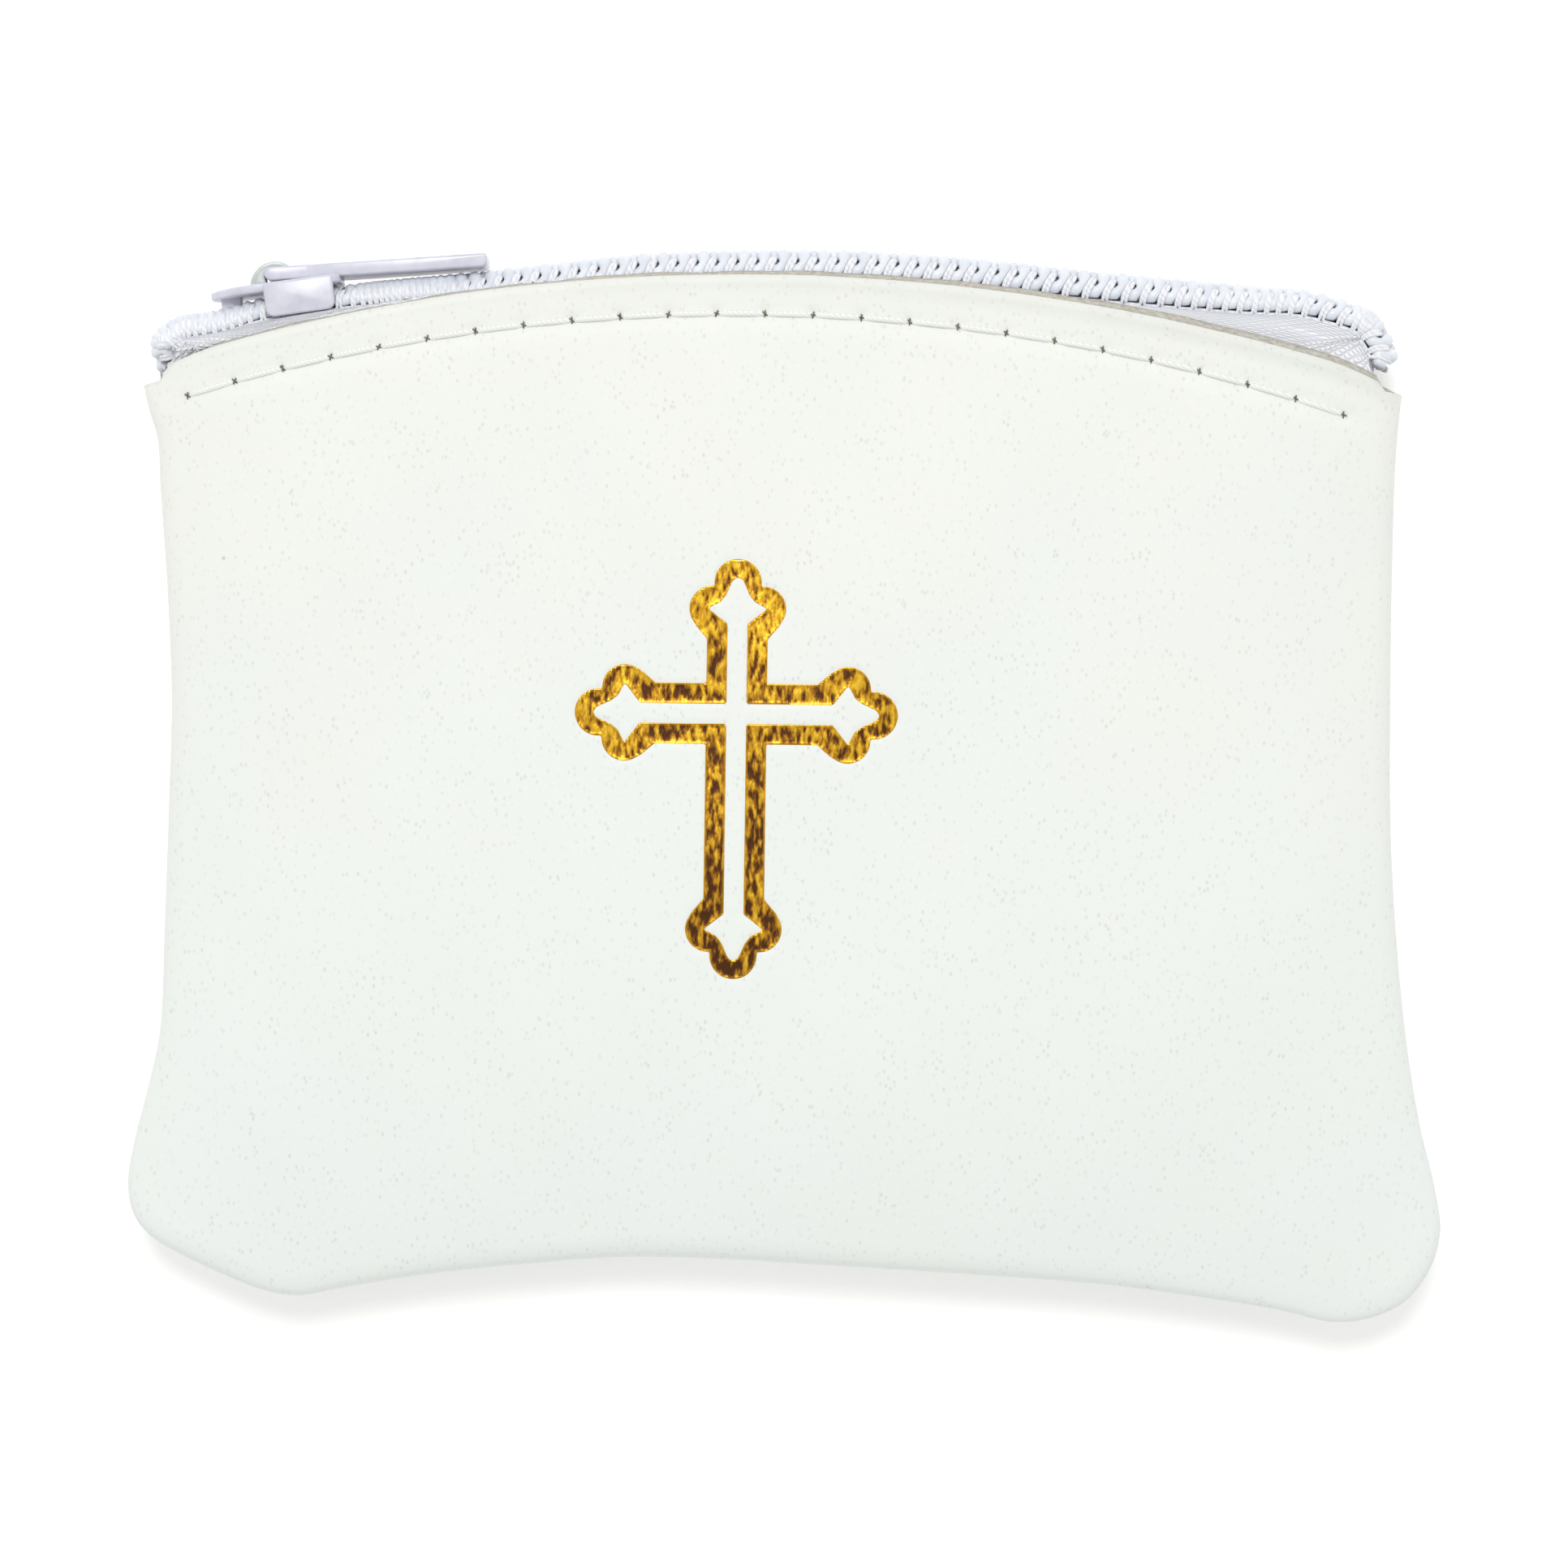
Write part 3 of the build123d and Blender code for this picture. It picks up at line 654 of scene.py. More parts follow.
# places and leans in degrees; the lean counts in the chain's length, so turns crowd where it twists
CHAIN = [(-42.2, 27.4, 10), (-43.1, 29.3, 12), (-42.9, 30.7, 14), (-41.4, 31.7, 12), (-38.6, 32.1, 6),
         (-35.0, 32.75, 0), (-30.0, 33.5, 0), (-26.0, 34.1, 10), (-21.5, 34.65, 20), (-16.0, 35.3, 23),
         (-10.0, 35.95, 24), (-3.0, 36.2, 24), (4.0, 36.2, 24), (10.0, 35.9, 24), (16.0, 35.35, 24),
         (21.0, 34.8, 24), (26.0, 34.3, 22), (31.0, 33.8, 18), (35.5, 33.35, 13), (38.6, 32.5, 13),
         (40.7, 31.1, 20), (41.55, 29.3, 20), (41.35, 27.2, 18)]
CHAIN_STEP = 0.1
chain_line = smooth_line(CHAIN, CHAIN_STEP)
chain_length = CHAIN_STEP * (len(chain_line) - 1)
chain_out = normals_2d(chain_line[:, :2])


def chain_frame(s):
    """Place, way out of the mouth and lean of the chain at a distance along it."""
    share = np.clip(np.asarray(s, float) / chain_length, 0, 1)
    at = pick(chain_line, share)
    out = pick(chain_out, share)
    out /= np.linalg.norm(out, axis=1)[:, None]
    return at[:, :2], out, np.radians(at[:, 2])


def in_chain(s, across, up):
    """Points of a coil: along the chain, across from its heads and up out of the mouth."""
    at, out, lean = chain_frame(s)
    across, up = np.asarray(across, float), np.asarray(up, float)
    outward = -across * np.sin(lean) + up * np.cos(lean)
    height = across * np.cos(lean) + up * np.sin(lean)
    return np.column_stack([at + out * outward[:, None], height * np.ones(len(at))])


def wire_tree():
    """Geometry Nodes: a round wire swept along a line, as thick as the line's "thick" says."""
    tree = bpy.data.node_groups.new("wire_on_path", "GeometryNodeTree")
    sockets = tree.interface
    sockets.new_socket("Path", in_out="INPUT", socket_type="NodeSocketGeometry")
    sides = sockets.new_socket("Sides", in_out="INPUT", socket_type="NodeSocketInt")
    finish = sockets.new_socket("Finish", in_out="INPUT", socket_type="NodeSocketMaterial")
    sockets.new_socket("Wire", in_out="OUTPUT", socket_type="NodeSocketGeometry")
    new, link = tree.nodes.new, tree.links.new
    given, result = new("NodeGroupInput"), new("NodeGroupOutput")
    line = new("GeometryNodeMeshToCurve")
    thick = new("GeometryNodeInputNamedAttribute")
    thick.data_type = "FLOAT"
    thick.inputs["Name"].default_value = "thick"
    circle = new("GeometryNodeCurvePrimitiveCircle")
    circle.inputs["Radius"].default_value = 1.0
    sweep = new("GeometryNodeCurveToMesh")
    sweep.inputs["Fill Caps"].default_value = True
    smooth = new("GeometryNodeSetShadeSmooth")
    real = new("GeometryNodeRealizeInstances")
    painted = new("GeometryNodeSetMaterial")
    link(given.outputs["Path"], line.inputs["Mesh"])
    link(given.outputs["Sides"], circle.inputs["Resolution"])
    link(line.outputs["Curve"], sweep.inputs["Curve"])
    link(thick.outputs["Attribute"], sweep.inputs["Scale"])
    link(circle.outputs["Curve"], sweep.inputs["Profile Curve"])
    link(sweep.outputs["Mesh"], smooth.inputs["Geometry"])
    link(smooth.outputs["Geometry"], real.inputs["Geometry"])
    link(real.outputs["Geometry"], painted.inputs["Geometry"])
    link(given.outputs["Finish"], painted.inputs["Material"])
    link(painted.outputs["Geometry"], result.inputs["Wire"])
    return tree, sides.identifier, finish.identifier


wire_nodes, SIDES, WIRE_FINISH = wire_tree()


def wound(name, lines, radii, side, material, sides=8):
    """Wires along one or more lines of layout points, as one plain mesh."""
    verts, edges, thick = [], [], []
    for line, radius in zip(lines, radii):
        start = len(verts)
        verts += [tuple(q) for q in placed(line, side)]
        edges += [(start + k, start + k + 1) for k in range(len(line) - 1)]
        thick += list(np.broadcast_to(radius, len(line)) * MM)
    mesh = bpy.data.meshes.new(name)
    mesh.from_pydata(verts, edges, [])
    mesh.attributes.new("thick", "FLOAT", "POINT").data.foreach_set("value", np.array(thick, np.float32))
    piece = bpy.data.objects.new(name, mesh)
    bpy.context.collection.objects.link(piece)
    sweep = piece.modifiers.new("wire", "NODES")
    sweep.node_group = wire_nodes
    sweep[SIDES] = sides
    sweep[WIRE_FINISH] = material
    return finished(piece)


# one turn of wire: share of the pitch, distance across, height, radius
TURN = [(0.00, 1.40, -0.52, 0.33), (0.00, 1.12, -0.46, 0.44), (0.00, 0.80, -0.45, 0.50),
        (0.00, 0.45, -0.48, 0.46), (0.00, 0.14, -0.52, 0.34), (0.00, -0.05, -0.64, 0.30),
        (0.00, -0.08, -0.82, 0.28), (0.00, 0.05, -1.04, 0.25), (0.00, 0.42, -1.17, 0.24),
        (0.00, 1.00, -1.19, 0.24), (0.10, 1.50, -1.22, 0.26), (0.42, 1.70, -1.18, 0.38),
        (0.66, 1.78, -1.06, 0.44), (0.85, 1.72, -0.88, 0.36), (0.96, 1.56, -0.66, 0.30)]

# one loop of thread: two strands come up round the coil between its turns and go back down
# beside each other, given as distance along the chain, distance across and height
LOOP = [(-0.62, 2.02, -1.62), (-0.60, 2.16, -1.20), (-0.50, 2.06, -0.80), (-0.26, 1.62, -0.46),
        (-0.12, 1.10, -0.44), (0.00, 0.80, -0.62), (0.12, 1.10, -0.44), (0.02, 1.62, -0.46),
        (-0.22, 2.06, -0.80), (-0.34, 2.16, -1.20), (-0.34, 2.02, -1.62)]
FIRST_TURN = 0.25
CORD_RADIUS = 0.26
COIL_THREAD_RADIUS = 0.145
OPEN_FROM = 9.3


def parted(s):
    """How far each coil stands back from the middle where the slider's nose has split the chain."""
    s = np.asarray(s, float)
    return 1.05 * np.clip((OPEN_FROM - s) / 3.5, 0, 1) ** 1.3 * np.clip((s - 1.0) / 2.0, 0, 1)


def risen(s):
    """The chain stands a little prouder of the mouth where no slider holds it down."""
    return 0.20 * np.clip((np.asarray(s, float) - 17.0) / 4.0, 0, 1)


def coil_wire(side):
    turns = int((chain_length - 0.9) / COIL_PITCH)
    offset = FIRST_TURN + (0.5 * COIL_PITCH if side > 0 else 0.0)
    s, a, b, r = np.array([(offset + (i + share) * COIL_PITCH, across, up, radius)
                           for i in range(turns) for share, across, up, radius in TURN]).T
    s = np.minimum(s, chain_length - 0.1)
    return in_chain(s, a + parted(s), b + risen(s)), r


def nylon():
    """Smooth bluish white filament with a faint cloudiness."""
    material, nodes, links, surface = shader("nylon_wire", (0.80, 0.815, 0.87), 0.34, 0.5)
    cloud = noise(nodes, links, nodes.new("ShaderNodeTexCoord").outputs["Object"], 900, 3)
    tint = tinted(nodes, links, cloud, [(0.35, (0.70, 0.735, 0.80)), (0.65, (0.79, 0.825, 0.87))])
    links.new(tint, surface.inputs["Base Color"])
    return material


nylon_wire = nylon()


def cotton(name, colour, dark, scale):
    """Twisted thread or cord: matt, with the twist as a slanted ribbing whose grooves are darkened with
    painted shade.
    """
    material, nodes, links, surface = shader(name, colour, 0.78, 0.3)
    place = nodes.new("ShaderNodeTexCoord")
    twist = nodes.new("ShaderNodeTexWave")
    twist.bands_direction = "DIAGONAL"
    twist.inputs["Scale"].default_value = scale
    twist.inputs["Distortion"].default_value = 1.5
    links.new(place.outputs["Object"], twist.inputs["Vector"])
    # painted shade: the grooves of the twist are darkened in the colour
    tint = tinted(nodes, links, twist.outputs["Fac"], [(0.1, dark), (0.5, colour)])
    links.new(tint, surface.inputs["Base Color"])
    bumped(nodes, links, surface, twist.outputs["Fac"], 0.15, 0.04)
    return material


zip_thread = cotton("zip_thread", (0.86, 0.87, 0.90), (0.74, 0.75, 0.79), 1400)
filler = cotton("filler_cord", (0.84, 0.845, 0.87), (0.62, 0.63, 0.68), 1100)


def ride_half(piece, front):
    if front:
        blend_mouth(piece)
    else:
        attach(piece, "pouch_back")


for half, front in (("back", False), ("front", True)):
    side = 1 if front else -1
    wire_line, wire_radius = coil_wire(side)
    coil = wound(f"{half}_coil_wire", [wire_line], [wire_radius], side, nylon_wire)
    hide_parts(f"{half}_coil")
    ride_half(coil, front)

    along = np.arange(0.8, chain_length - 0.8, 0.5)
    cord_line = in_chain(along, 0.85 + parted(along), np.full(len(along), -0.84))
    cord = wound(f"{half}_filler_cord", [cord_line], [CORD_RADIUS], side, filler)
    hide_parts(f"{half}_coil_cord")
    ride_half(cord, front)

    first_gap = FIRST_TURN + COIL_PITCH * (1.0 if front else 0.5)
    gaps = np.arange(first_gap, chain_length - 0.8, COIL_PITCH)
    s, a, b = np.array([(g + ds, across, up) for g in gaps for ds, across, up in LOOP]).T
    thread_line = in_chain(np.clip(s, 0, chain_length), a + parted(s), b + risen(s))
    thread = wound(f"{half}_coil_thread", [thread_line], [COIL_THREAD_RADIUS], side, zip_thread, 6)
    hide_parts(f"{half}_coil_stitching")
    ride_half(thread, front)

# ---- The zip tapes ------------------------------------------------------------------------------
# Woven white polyester tape, 12 mm wide, one along each lip. Its inner edge carries the coil; the
# rest turns down behind the leather and is held there by the top stitching.

TAPE = 0.35
TAPE_WIDTH = 12.0
TAPE_GAP = 0.12
FEET_UP = -1.62


def tape_mesh(front):
    shares = np.linspace(0, 1, 240)
    s = shares * chain_length
    lip_x = -42.0 + 82.3 * shares
    inside = LEATHER + TAPE_GAP + TAPE / 2
    lines = [in_chain(s, across + parted(s), np.full(len(s), FEET_UP)) for across in (0.35, 0.9, 1.5, 2.1)]
    edge = lines[-1]
    lip = np.column_stack([lip_x, lip_y(lip_x) + 0.1, puff(lip_x, lip_y(lip_x)) - inside + 0.15])
    for t in (0.3, 0.6, 0.85):
        p = edge * (1 - t) + lip * t
        p[:, 2] += 0.35 * math.sin(math.pi * t)
        lines.append(p)
    lines.append(lip)
    for drop in (0.8, 2.0, 3.5, 5.0, 6.6):
        y = lip_y(lip_x) - drop
        h = puff(lip_x, y) - inside
        if not front:
            h = np.minimum(h, HALF_THICKNESS - 0.02 - inside)
        lines.append(np.column_stack([lip_x, y, h - sewn_in(lip_x, y)]))
    strips = []
    for k in range(len(s)):
        strip = smooth_line([line[k] for line in lines], 0.4)
        strips.append(strip[np.linspace(0, len(strip) - 1, 34).astype(int)])
    grid = np.array(strips)
    count, across_count = grid.shape[0], grid.shape[1]
    faces = []
    for i in range(count - 1):
        for k in range(across_count - 1):
            a = i * across_count + k
            faces.append((a, a + across_count, a + across_count + 1, a + 1))
    step = np.linalg.norm(np.diff(grid[:, across_count // 2], axis=0), axis=1)
    run = np.concatenate([[0], np.cumsum(step)])
    uv = [(run[i], TAPE_WIDTH * k / (across_count - 1)) for i in range(count) for k in range(across_count)]
    return grid.reshape(-1, 3), faces, uv


def woven_tape():
    """Warp-faced tape weave: narrow ribs along the tape, crossed by the weft, with painted shade in the gaps
    between the yarns.
    """
    material, nodes, links, surface = shader("woven_tape", (0.84, 0.85, 0.90), 0.8, 0.25)
    place = nodes.new("ShaderNodeUVMap")
    place.uv_map = "weave"
    split = nodes.new("ShaderNodeSeparateXYZ")
    links.new(place.outputs["UV"], split.inputs["Vector"])

    def wave(output, per_mm, phase):
        turn = nodes.new("ShaderNodeMath")
        turn.operation = "MULTIPLY_ADD"
        turn.inputs[1].default_value = 2 * math.pi * per_mm
        turn.inputs[2].default_value = phase
        links.new(output, turn.inputs[0])
        sine = nodes.new("ShaderNodeMath")
        sine.operation = "SINE"
        links.new(turn.outputs["Value"], sine.inputs[0])
        return sine.outputs["Value"]

    shear = nodes.new("ShaderNodeMath")
    shear.operation = "MULTIPLY_ADD"
    shear.inputs[1].default_value = 0.30
    links.new(split.outputs["Y"], shear.inputs[0])
    links.new(split.outputs["X"], shear.inputs[2])
    warp = wave(split.outputs["Y"], 1.4, 0.0)
    weft = wave(shear.outputs["Value"], 0.62, 0.6)
    product = nodes.new("ShaderNodeMath")
    product.operation = "MULTIPLY"
    links.new(warp, product.inputs[0])
    links.new(weft, product.inputs[1])
    pillow = nodes.new("ShaderNodeMath")
    pillow.operation = "ABSOLUTE"
    links.new(product.outputs["Value"], pillow.inputs[0])
    level = nodes.new("ShaderNodeMapRange")
    level.inputs["From Max"].default_value = 0.8
    links.new(pillow.outputs["Value"], level.inputs["Value"])
    # painted shade: the colour darkens where the pillows of the weave dip between the yarns
    tint = tinted(nodes, links, level.outputs["Result"],
                  [(0.0, (0.66, 0.68, 0.75)), (0.5, (0.87, 0.885, 0.92))])
    links.new(tint, surface.inputs["Base Color"])
    bumped(nodes, links, surface, level.outputs["Result"], 0.8, 0.14)
    return material


tape_weave = woven_tape()
for half, front in (("back", False), ("front", True)):
    side = 1 if front else -1
    points, faces, uv = tape_mesh(front)
    if side > 0:
        faces = [f[::-1] for f in faces]
    tape = mesh_object(f"{half}_zip_tape_cloth", placed(points, side), faces, [tape_weave])
    layer = tape.data.uv_layers.new(name="weave")
    for loop in tape.data.loops:
        layer.data[loop.index].uv = uv[loop.vertex_index]
    thickness = tape.modifiers.new("cloth", "SOLIDIFY")
    thickness.thickness = TAPE * MM
    thickness.offset = 0
    finished(tape)
    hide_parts(f"{half}_zip_tape")
    ride_half(tape, front)

# ---- The top stitching --------------------------------------------------------------------------
# White polyester thread, one lockstitch line that joins each lip to its tape. The needle thread lies
# on the grain between its holes and dives into each; the bobbin thread does the same inside.

THREAD = 0.18
TICK_JITTER = 0.6


def row_tree():
    """Geometry Nodes: one stitch or tick set at each point, turned by "turn" and as long as "long"."""
    tree = bpy.data.node_groups.new("stitches_at_holes", "GeometryNodeTree")
    sockets = tree.interface
    sockets.new_socket("Places", in_out="INPUT", socket_type="NodeSocketGeometry")
    stitch = sockets.new_socket("Stitch", in_out="INPUT", socket_type="NodeSocketObject")
    finish = sockets.new_socket("Finish", in_out="INPUT", socket_type="NodeSocketMaterial")
    jitter = sockets.new_socket("Jitter", in_out="INPUT", socket_type="NodeSocketFloat")
    sockets.new_socket("Row", in_out="OUTPUT", socket_type="NodeSocketGeometry")
    new, link = tree.nodes.new, tree.links.new
    given, result = new("NodeGroupInput"), new("NodeGroupOutput")
    points = new("GeometryNodeMeshToPoints")
    turn, length = new("GeometryNodeInputNamedAttribute"), new("GeometryNodeInputNamedAttribute")
    turn.data_type, length.data_type = "FLOAT_VECTOR", "FLOAT_VECTOR"
    turn.inputs["Name"].default_value = "turn"
    length.inputs["Name"].default_value = "long"
    wobble = new("FunctionNodeRandomValue")
    wobble.data_type = "FLOAT"
    wobble.inputs["Seed"].default_value = 7
    spread = new("ShaderNodeMath")
    spread.operation = "MULTIPLY"
    push = new("ShaderNodeCombineXYZ")
    angle = new("ShaderNodeVectorMath")
    one = new("GeometryNodeObjectInfo")
    copies = new("GeometryNodeInstanceOnPoints")
    real = new("GeometryNodeRealizeInstances")
    smooth = new("GeometryNodeSetShadeSmooth")
    painted = new("GeometryNodeSetMaterial")
    link(given.outputs["Places"], points.inputs["Mesh"])
    link(points.outputs["Points"], copies.inputs["Points"])
    link(given.outputs["Stitch"], one.inputs["Object"])
    link(one.outputs["Geometry"], copies.inputs["Instance"])
    link(wobble.outputs["Value"], spread.inputs[0])
    link(given.outputs["Jitter"], spread.inputs[1])
    link(spread.outputs["Value"], push.inputs["Z"])
    link(turn.outputs["Attribute"], angle.inputs[0])
    link(push.outputs["Vector"], angle.inputs[1])
    link(angle.outputs["Vector"], copies.inputs["Rotation"])
    link(length.outputs["Attribute"], copies.inputs["Scale"])
    link(copies.outputs["Instances"], real.inputs["Geometry"])
    link(real.outputs["Geometry"], smooth.inputs["Geometry"])
    link(smooth.outputs["Geometry"], painted.inputs["Geometry"])
    link(given.outputs["Finish"], painted.inputs["Material"])
    link(painted.outputs["Geometry"], result.inputs["Row"])
    return tree, stitch.identifier, finish.identifier, jitter.identifier


row_nodes, STITCH, ROW_FINISH, JITTER = row_tree()


def single_stitch(name, material, dive, radius, length=STITCH_PITCH):
    """Model of one stitch about the middle of its length, lying along X and diving at both ends."""
    share = np.linspace(-0.5, 0.5, 13)
    lift = -dive * np.clip(np.abs(share) / 0.5 * 1.35 - 0.35, 0, 1) ** 2.2
    sides = 8
    rings = []
    for x, z in zip(share * length, lift):
        for k in range(sides):
            a = 2 * math.pi * k / sides
            rings.append((x * MM, radius * math.cos(a) * MM * 1.15, (z + radius * math.sin(a)) * MM))
    faces = []
    for i in range(len(share) - 1):
        for k in range(sides):
            q, w = i * sides + k, i * sides + (k + 1) % sides
            faces.append((q, q + sides, w + sides, w))
    faces.append(tuple(range(sides)))
    faces.append(tuple(range(len(rings) - 1, len(rings) - 1 - sides, -1)))
    return mesh_object(name, rings, faces, [material])


def stitch_row(name, model, places, turns, scales, material, jitter=0.0):
    mesh = bpy.data.meshes.new(name)
    mesh.from_pydata([tuple(q) for q in places], [], [])
    for label, values in (("turn", turns), ("long", scales)):
        data = np.asarray(values, np.float32).ravel()
        mesh.attributes.new(label, "FLOAT_VECTOR", "POINT").data.foreach_set("vector", data)
    piece = bpy.data.objects.new(name, mesh)
    bpy.context.collection.objects.link(piece)
    copies = piece.modifiers.new("row", "NODES")
    copies.node_group = row_nodes
    copies[STITCH] = model
    copies[ROW_FINISH] = material
    copies[JITTER] = jitter
    return finished(piece)


def stitches_between(holes, heights, side, model, name, material, outward):
    """Row of stitches, one between each two holes, lying on the side that faces outward."""
    at = placed(np.column_stack([holes, heights]), side)
    step = at[1:] - at[:-1]
    run = np.linalg.norm(step, axis=1)
    heading = np.arctan2(step[:, 1], step[:, 0])
    pitch = -np.arcsin(step[:, 2] / run)
    roll = np.full(len(run), 0.0 if outward * side > 0 else math.pi)
    scales = np.column_stack([run / (STITCH_PITCH * MM), np.ones(len(run)), np.ones(len(run))])
    turns = np.column_stack([roll, pitch, heading])
    return stitch_row(name, model, (at[1:] + at[:-1]) / 2, turns, scales, material)


sewing_white = cotton("sewing_thread", (0.85, 0.86, 0.83), (0.77, 0.78, 0.74), 1700)
# painted shade: dark olive ticks are laid over each needle hole, where shade falls into the hole
hole_shadow = fibrous("needle_hole_painted_shade", (0.22, 0.22, 0.15), (0.07, 0.075, 0.045), 3000, 0.3)
outer_stitch = single_stitch("outer_stitch_model", sewing_white, 0.34, THREAD)
inner_stitch = single_stitch("inner_stitch_model", sewing_white, 0.30, THREAD)
tick = single_stitch("needle_tick_model", hole_shadow, 0.03, 0.042, 0.46)
for half, front in (("back", False), ("front", True)):
    side = 1 if front else -1
    lying = grain_height(needle_holes[:, 0], needle_holes[:, 1], front) + 0.25
    if not front:
        lying = np.minimum(lying, HALF_THICKNESS - THREAD - 0.05)
    needle = stitches_between(needle_holes, lying, side, outer_stitch,
                              f"{half}_needle_thread", sewing_white, 1)
    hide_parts(f"{half}_top_stitching")
    ride_half(needle, front)
    inner = puff(needle_holes[:, 0], needle_holes[:, 1]) - LEATHER - 0.2 - TAPE - TAPE_GAP
    bobbin = stitches_between(needle_holes, inner, side, inner_stitch,
                              f"{half}_bobbin_thread", sewing_white, -1)
    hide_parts(f"{half}_top_bobbin_thread")
    ride_half(bobbin, front)
    # the ticks crossed over each needle hole are painted shade
    at = placed(np.column_stack([needle_holes, lying - (0.10 if front else 0.02)]), side)
    crossed = np.repeat(at, 2, axis=0)
    turns = np.array([(0, 0, 1.1 + 1.3 * (k % 2)) for k in range(len(crossed))])
    ticks = stitch_row(f"{half}_needle_holes", tick, crossed, turns, np.ones((len(crossed), 3)),
                       hole_shadow, TICK_JITTER)
    ride_half(ticks, front)

# ---- The seam -----------------------------------------------------------------------------------
# The same thread in a closed seam round the sides and the bottom, inside the turned edge. It shows
# only when the mouth is open.

SEAM_INSET = 1.5
SEAM_HEIGHT = 0.6
seam_ids = np.arange(14, len(seam) - 14, int(STITCH_PITCH / 0.25))
seam_holes = (seam + seam_inward * SEAM_INSET)[seam_ids]
for name, node, front in (("seam_needle_line", "seam_needle_thread", True),
                          ("seam_bobbin_line", "seam_bobbin_thread", False)):
    seam_thread = stitches_between(seam_holes, np.full(len(seam_holes), SEAM_HEIGHT), 1 if front else -1,
                                   inner_stitch, name, sewing_white, 1)
    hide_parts(node)
    ride_half(seam_thread, front)
for model in (outer_stitch, inner_stitch, tick):
    bpy.data.objects.remove(model)

# ---- The slider, its spring cap and its tab -----------------------------------------------------
# Die-cast zinc slider, a spring cap of bent steel strip over the tab's bar, and a flat tab with an
# eye round the cap. All three are dipped in an off-white enamel that pools a little at the corners.


def enamel(name, colour, dark):
    """Glossy dipped paint, a little darker where it pools, with a faint orange peel."""
    material, nodes, links, surface = shader(name, colour, 0.3, 0.5)
    surface.inputs["Coat Weight"].default_value = 0.3
    surface.inputs["Coat Roughness"].default_value = 0.2
    place = nodes.new("ShaderNodeTexCoord").outputs["Object"]
    tint = tinted(nodes, links, noise(nodes, links, place, 650, 4), [(0.3, dark), (0.6, colour)])
    links.new(tint, surface.inputs["Base Color"])
    bumped(nodes, links, surface, noise(nodes, links, place, 1800), 0.15, 0.03)
    return material


slider_enamel = enamel("slider_enamel", (0.66, 0.66, 0.75), (0.55, 0.55, 0.64))
# painted shade: the cap has the same off-white enamel as the slider, given here as a darker grey-green copy
cap_enamel_painted_shade = enamel("cap_enamel_painted_shade", (0.57, 0.62, 0.595), (0.46, 0.50, 0.48))

SLIDER_PLACE = np.array((-34.22, 32.95))
SLIDER_TURN = math.radians(7.76)


def prism(outline, low, high, axis):
    """Closed block: an outline drawn on the two other axes, run from low to high along the axis."""
    count = len(outline)
    points = [list(corner) for _ in range(2) for corner in outline]
    for k, point in enumerate(points):
        point.insert("xyz".index(axis), low if k < count else high)
    faces = [tuple(range(count)), tuple(range(2 * count - 1, count - 1, -1))]
    faces += [(k, k + count, (k + 1) % count + count, (k + 1) % count) for k in range(count)]
    return points, faces


def rounded_metal(name, blocks, origin, turn, material, width=0.16):
    """Blocks in the slider's own axes, set in place, with every edge rounded as a casting's are."""
    points, faces = [], []
    for block_points, block_faces in blocks:
        start = len(points)
        points += block_points
        faces += [tuple(start + k for k in f) for f in block_faces]
    p = np.array(points, float)
    c, s = math.cos(turn), math.sin(turn)
    layout = np.column_stack([origin[0] + p[:, 0] * c - p[:, 1] * s,
                              origin[1] + p[:, 0] * s + p[:, 1] * c, p[:, 2]])
    piece = mesh_object(name, placed(layout, 1), faces, [material], smooth=False)
    outward = bmesh.new()
    outward.from_mesh(piece.data)
    bmesh.ops.recalc_face_normals(outward, faces=outward.faces)
    outward.to_mesh(piece.data)
    outward.free()
    edge = piece.modifiers.new("rounding", "BEVEL")
    edge.width = width * MM
    edge.segments = 3
    edge.limit_method = "ANGLE"
    edge.angle_limit = math.radians(40)
    finished(piece)
    piece.data.polygons.foreach_set("use_smooth", [True] * len(piece.data.polygons))
    return piece


def arc(cx, cy, radius, first, last, steps):
    return [(cx + radius * math.cos(math.radians(a)), cy + radius * math.sin(math.radians(a)))
            for a in np.linspace(first, last, steps)]


def both(outline):
    return outline + [(x, -z) for x, z in reversed(outline)]


plate = both([(-4.5, 0.55), (-3.95, 1.6), (-2.9, 2.6), (-1.2, 2.8), (4.0, 2.7), (4.4, 2.3)])
flange = [(-0.82, 0.85), (-0.80, -0.85)] + arc(-0.25, -0.9, 0.55, 185, 270, 5)
flange += arc(3.32, -0.9, 0.55, 270, 360, 5) + [(3.92, 0.85)]
slider_blocks = [prism(plate, 0.32, 0.90, "y"),
                 prism(both([(-2.4, 0.9), (-1.1, 2.1), (3.9, 2.1), (4.4, 1.8)]), -2.95, -2.35, "y"),
                 prism(flange, 2.32, 2.9, "z"), prism(flange, -2.9, -2.32, "z"),
                 prism([(-3.9, -2.6), (-2.5, -2.6), (-2.5, 0.6), (-3.9, 0.6)], -0.7, 0.7, "z"),
                 prism([(-2.4, 0.6), (-1.9, 0.6), (-1.9, 1.08), (-2.4, 1.08)], -1.0, 1.0, "z"),
                 prism([(1.5, 0.6), (1.95, 0.6), (1.95, 1.36), (1.5, 1.36)], -1.0, 1.0, "z")]
slider = rounded_metal("slider_casting", slider_blocks, SLIDER_PLACE, SLIDER_TURN, slider_enamel)
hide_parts("slider_body")
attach(slider, "slider")

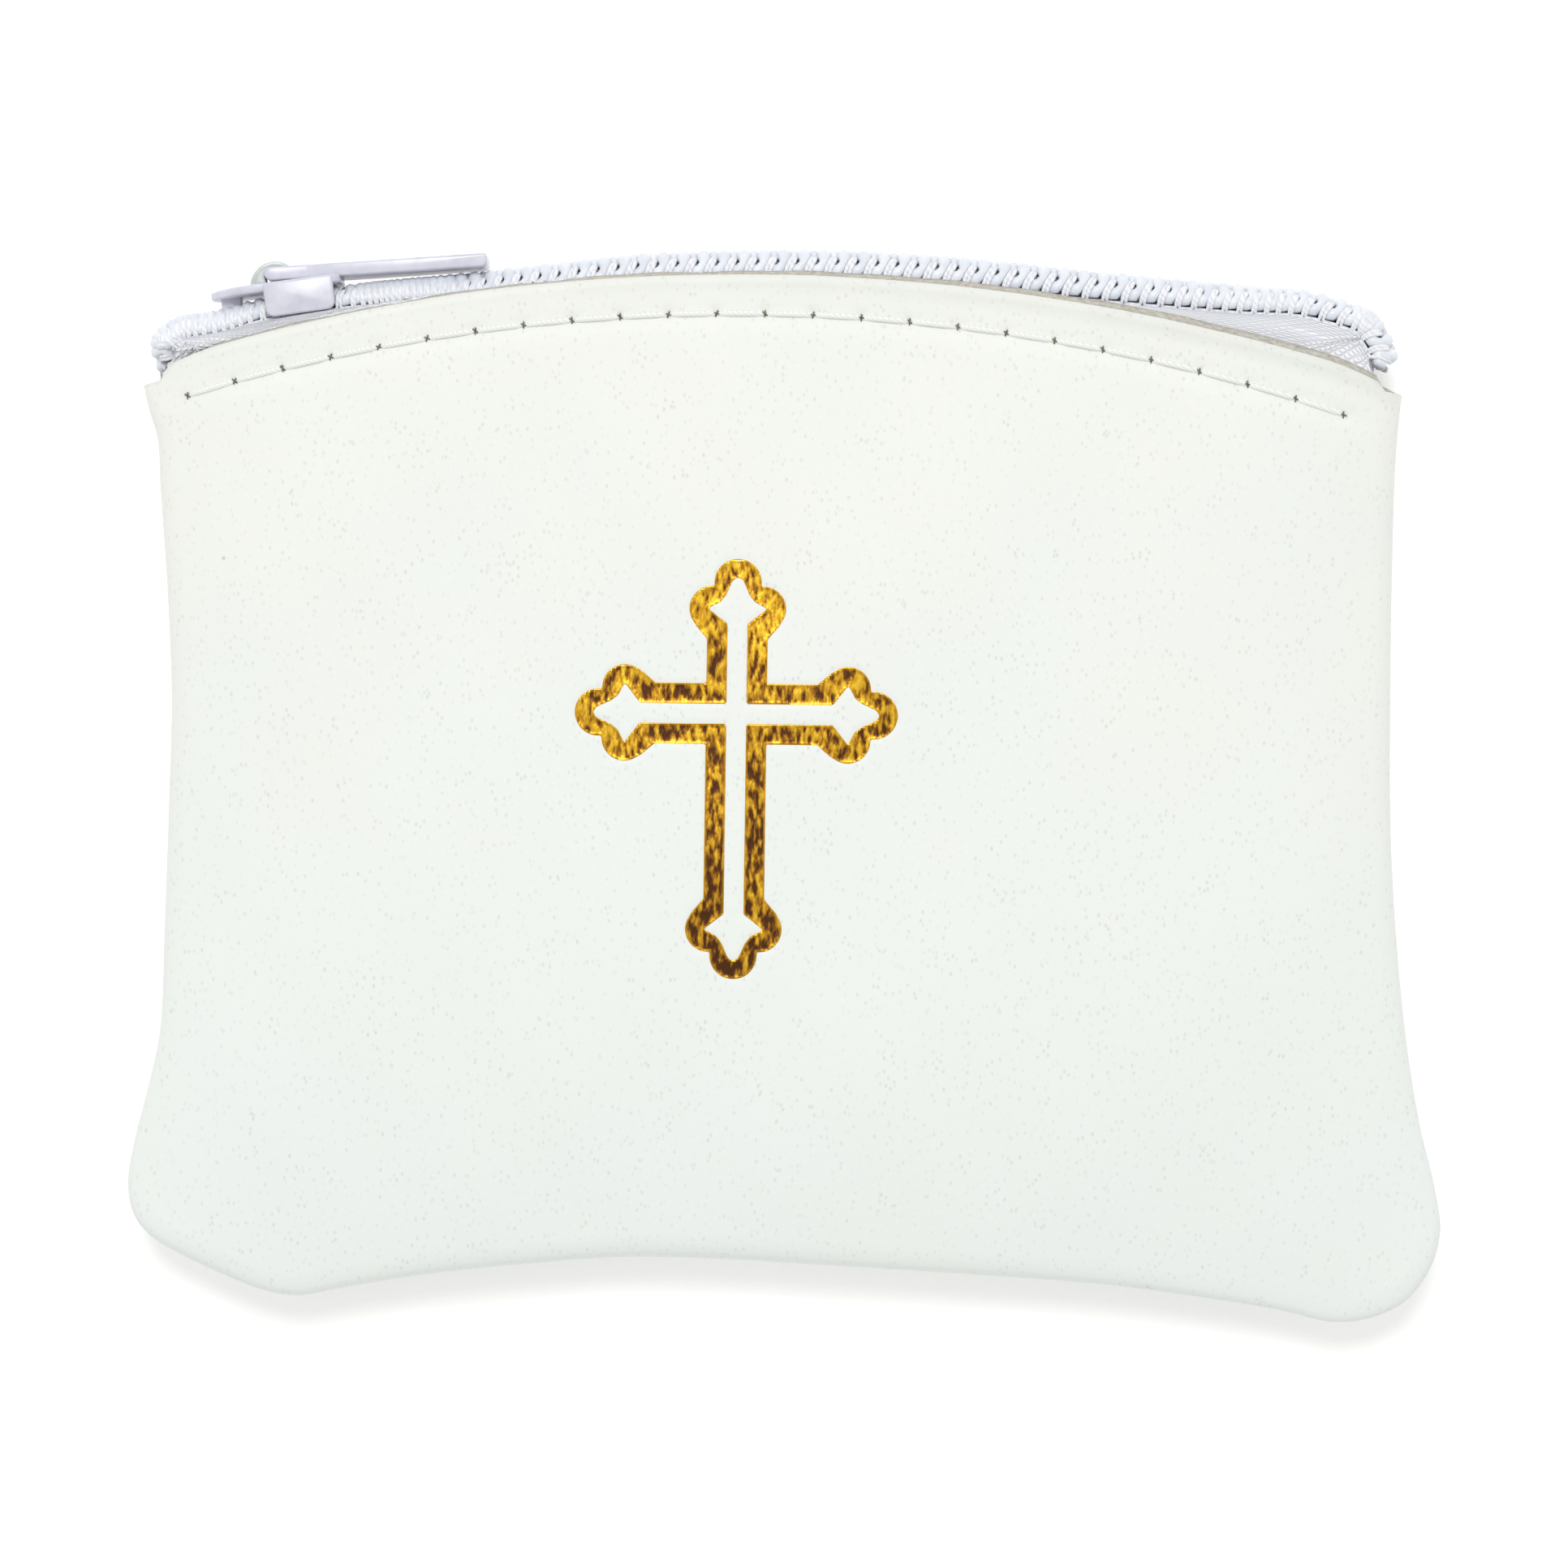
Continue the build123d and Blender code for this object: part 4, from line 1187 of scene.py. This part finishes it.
CAP_MIDDLE = (-0.1, 0.75)
cap_strip = arc(*CAP_MIDDLE, 1.66, 4, 176, 25) + arc(*CAP_MIDDLE, 1.32, 176, 4, 25)
cheek_out = arc(*CAP_MIDDLE, 1.5, 8, 172, 25)
BAR_HOLE = (-0.15, 1.42)
cheek_in = [(BAR_HOLE[0] + 0.56 * math.cos(math.radians(a)), BAR_HOLE[1] + 0.60 * math.sin(math.radians(a)))
            for a in np.linspace(-40, 220, 25)][::-1]


def cheek(low, high):
    """Side of the cap with its hole for the tab's bar, as a band of blocks round the hole."""
    points, faces = [], []
    band = list(zip(cheek_out, cheek_in[::-1]))
    for z in (low, high):
        points += [(x, y, z) for pair in band for x, y in pair]
    n = 2 * len(band)
    for k in range(len(band) - 1):
        q = 2 * k
        faces += [(q, q + 1, q + 3, q + 2), (q + n, q + 2 + n, q + 3 + n, q + 1 + n),
                  (q, q + 2, q + 2 + n, q + n), (q + 1, q + 1 + n, q + 3 + n, q + 3)]
    faces += [(0, n, n + 1, 1), (n - 2, n - 1, 2 * n - 1, 2 * n - 2)]
    return points, faces


cap = rounded_metal("spring_cap", [prism(cap_strip, -1.1, 1.1, "z"), cheek(0.80, 1.08), cheek(-1.08, -0.80)],
                    SLIDER_PLACE, SLIDER_TURN, cap_enamel_painted_shade, 0.09)
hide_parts("slider_spring_cap")
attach(cap, "spring_cap")

TAB_TURN = math.radians(-4.0)
BAR = (-0.2, 1.52)
cos, sin = math.cos(SLIDER_TURN), math.sin(SLIDER_TURN)
tab_place = SLIDER_PLACE + np.array((BAR[0] * cos - BAR[1] * sin, BAR[0] * sin + BAR[1] * cos))
limb = arc(0, 0, 0.45, 90, 270, 9) + [(2.6, -0.45), (2.6, 0.45)]
blade = [(2.3, -0.45)] + arc(14.2, 0.0, 0.45, 270, 330, 4)
blade += [(14.62, 0.1), (14.6, 0.36), (14.48, 0.45), (2.3, 0.45)]
tab_blocks = [prism(limb, 1.3, 2.1, "z"), prism(limb, -2.1, -1.3, "z"), prism(blade, -2.1, 2.1, "z"),
              prism(arc(0, 0, 0.38, 0, 330, 12), -1.5, 1.5, "z")]
tab = rounded_metal("flat_tab", tab_blocks, tab_place, SLIDER_TURN + TAB_TURN, slider_enamel, 0.15)
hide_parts("pull_tab")
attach(tab, "tab")
